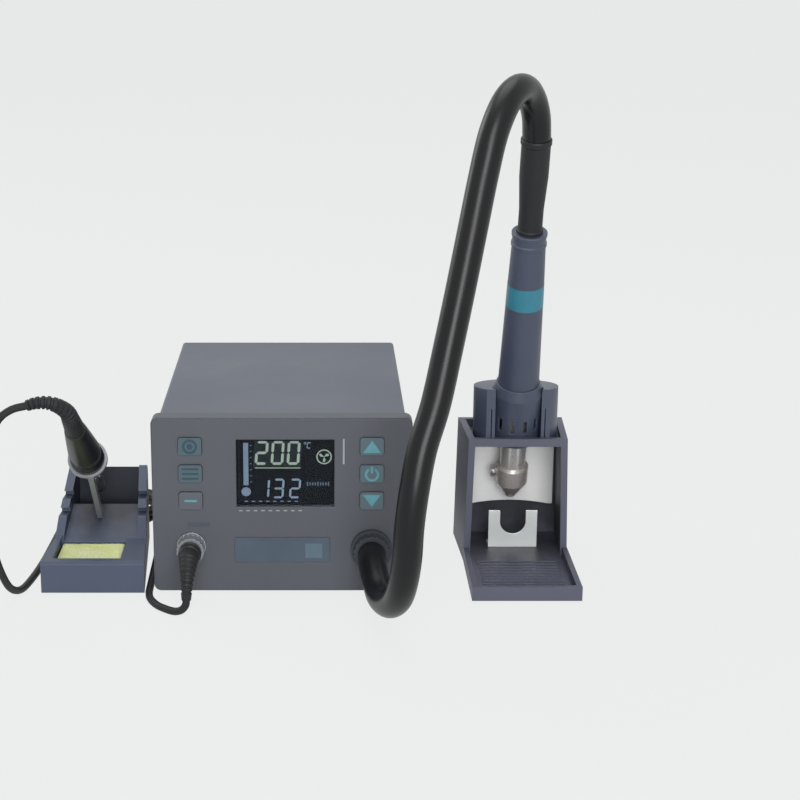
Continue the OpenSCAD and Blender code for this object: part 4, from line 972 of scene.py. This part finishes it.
def make_screw_heads():
    """Each head is turned to its own angle, as a driver leaves it."""
    verts, faces = [], []
    for x in (-SCREW_REAR_X, SCREW_REAR_X):
        for z in SCREW_REAR_Z:
            place = shift(STATION + Vector((x, SCREW_REAR_Y, z))) @ turn(-90, "X")
            pan_head(verts, faces, place @ Matrix.Rotation(x + z, 4, "Z"))
    for side in (-1, 1):
        for y in SCREW_SIDE_Y:
            place = shift(STATION + Vector((side * SCREW_SIDE_X, y, SCREW_SIDE_Z)))
            place = place @ turn(90 * side, "Y")
            pan_head(verts, faces, place @ Matrix.Rotation(y, 4, "Z"))
    add_mesh("screw_heads", verts, faces, "steel", "root")


# The rocker's pivot in the station's millimetres, and its lean in degrees at rest
ROCKER_AT, ROCKER_LEAN = (24, 239, 34), 9
# Marks on its two faces: distance out of and along the pivot, and the face's slope
MARK_OUT, MARK_UP, MARK_SLOPE = 4.22, 5.2, 10.6
MARK_THICK = 0.06


def make_rocker_marks():
    """I and O on the two faces of the power rocker."""
    pivot = shift(STATION + Vector(ROCKER_AT)) @ turn(ROCKER_LEAN, "X")
    for name, up, outlines in (("rocker_mark_i", 1, [bar(0, 0, 0.8, 3.8)]),
                               ("rocker_mark_o", -1, hoop(0, 0, 2.0, 1.35, 28))):
        face = shift((0, MARK_OUT, up * MARK_UP)) @ turn(-MARK_SLOPE * up, "X")
        marks = print_shape(name, outlines, 0, MARK_THICK, "white", "rocker")
        marks.data.transform(pivot @ face @ turn(180, "Z"))


def make_prints():
    """Marks printed on the bezel and on the keys, with one painted highlight among them. They stay
    plain: no words, no names.
    """
    y = FRONT_Y - PRINT_OFF * MM
    # The tall pale bar right of the display is a painted highlight on the lit edge of the panel
    # round the display; the row of short bars under the display is printed.
    pale = [bar(24.6, 110, 1.3, 19)] + [bar(-50 + 5.4 * k, 65.2, 2.6, 0.9) for k in range(9)]
    print_shape("bezel_marks", pale, y, PRINT_THICK, "pale_print_and_highlight", "root")
    label = [bar(-80.5, 54.5, 16, 3.2)]
    print_shape("socket_label", label, y, PRINT_THICK, "print_dark", "root")

    cap_y = FRONT_Y - KEY_PROUD * MM
    left, right = KEY_LEFT, KEY_RIGHT
    symbols = {
        "key_l1": hoop(left, 114, 5.6, 3.6) + [disc(left, 114, 2.3, 20)],
        "key_l2": [bar(left, 93.5 + rise, 12, 1.6) for rise in (-3.6, 0, 3.6)],
        "key_l3": [bar(left, 73, 9, 1.6)],
        "key_r1": [[(right - 6.4, 109.4), (right + 6.4, 109.4), (right, 118.4)]],
        "key_r2": hoop(right, 93, 5.2, 3.5, 24, skip=(4, 5, 6, 7)) + [bar(right, 96.6, 1.7, 5)],
        "key_r3": [[(right - 6.4, 77.6), (right, 68.6), (right + 6.4, 77.6)]],
    }
    for key, outlines in symbols.items():
        tone = "print_dim" if key in ("key_l1", "key_l2") else "print_teal"
        print_shape(key + "_symbol", outlines, cap_y, SYMBOL_THICK, tone, key)

    strip_y = FRONT_Y + STRIP_BEHIND * MM
    strip = [bar(-20, 35, 68.6, 18.6)]
    print_shape("title_strip", strip, strip_y, STRIP_THICK, "strip", "root")
    top_y = strip_y - STRIP_THICK * MM
    field, rule = [bar(3, 34.2, 12.5, 11)], [bar(-20, 42.4, 50, 1.0)]
    print_shape("title_field", field, top_y, FIELD_THICK, "strip_pale", "root")
    print_shape("title_rule", rule, top_y, FIELD_THICK, "print_dark", "root")


make_display()
make_prints()
make_screw_heads()
make_rocker_marks()
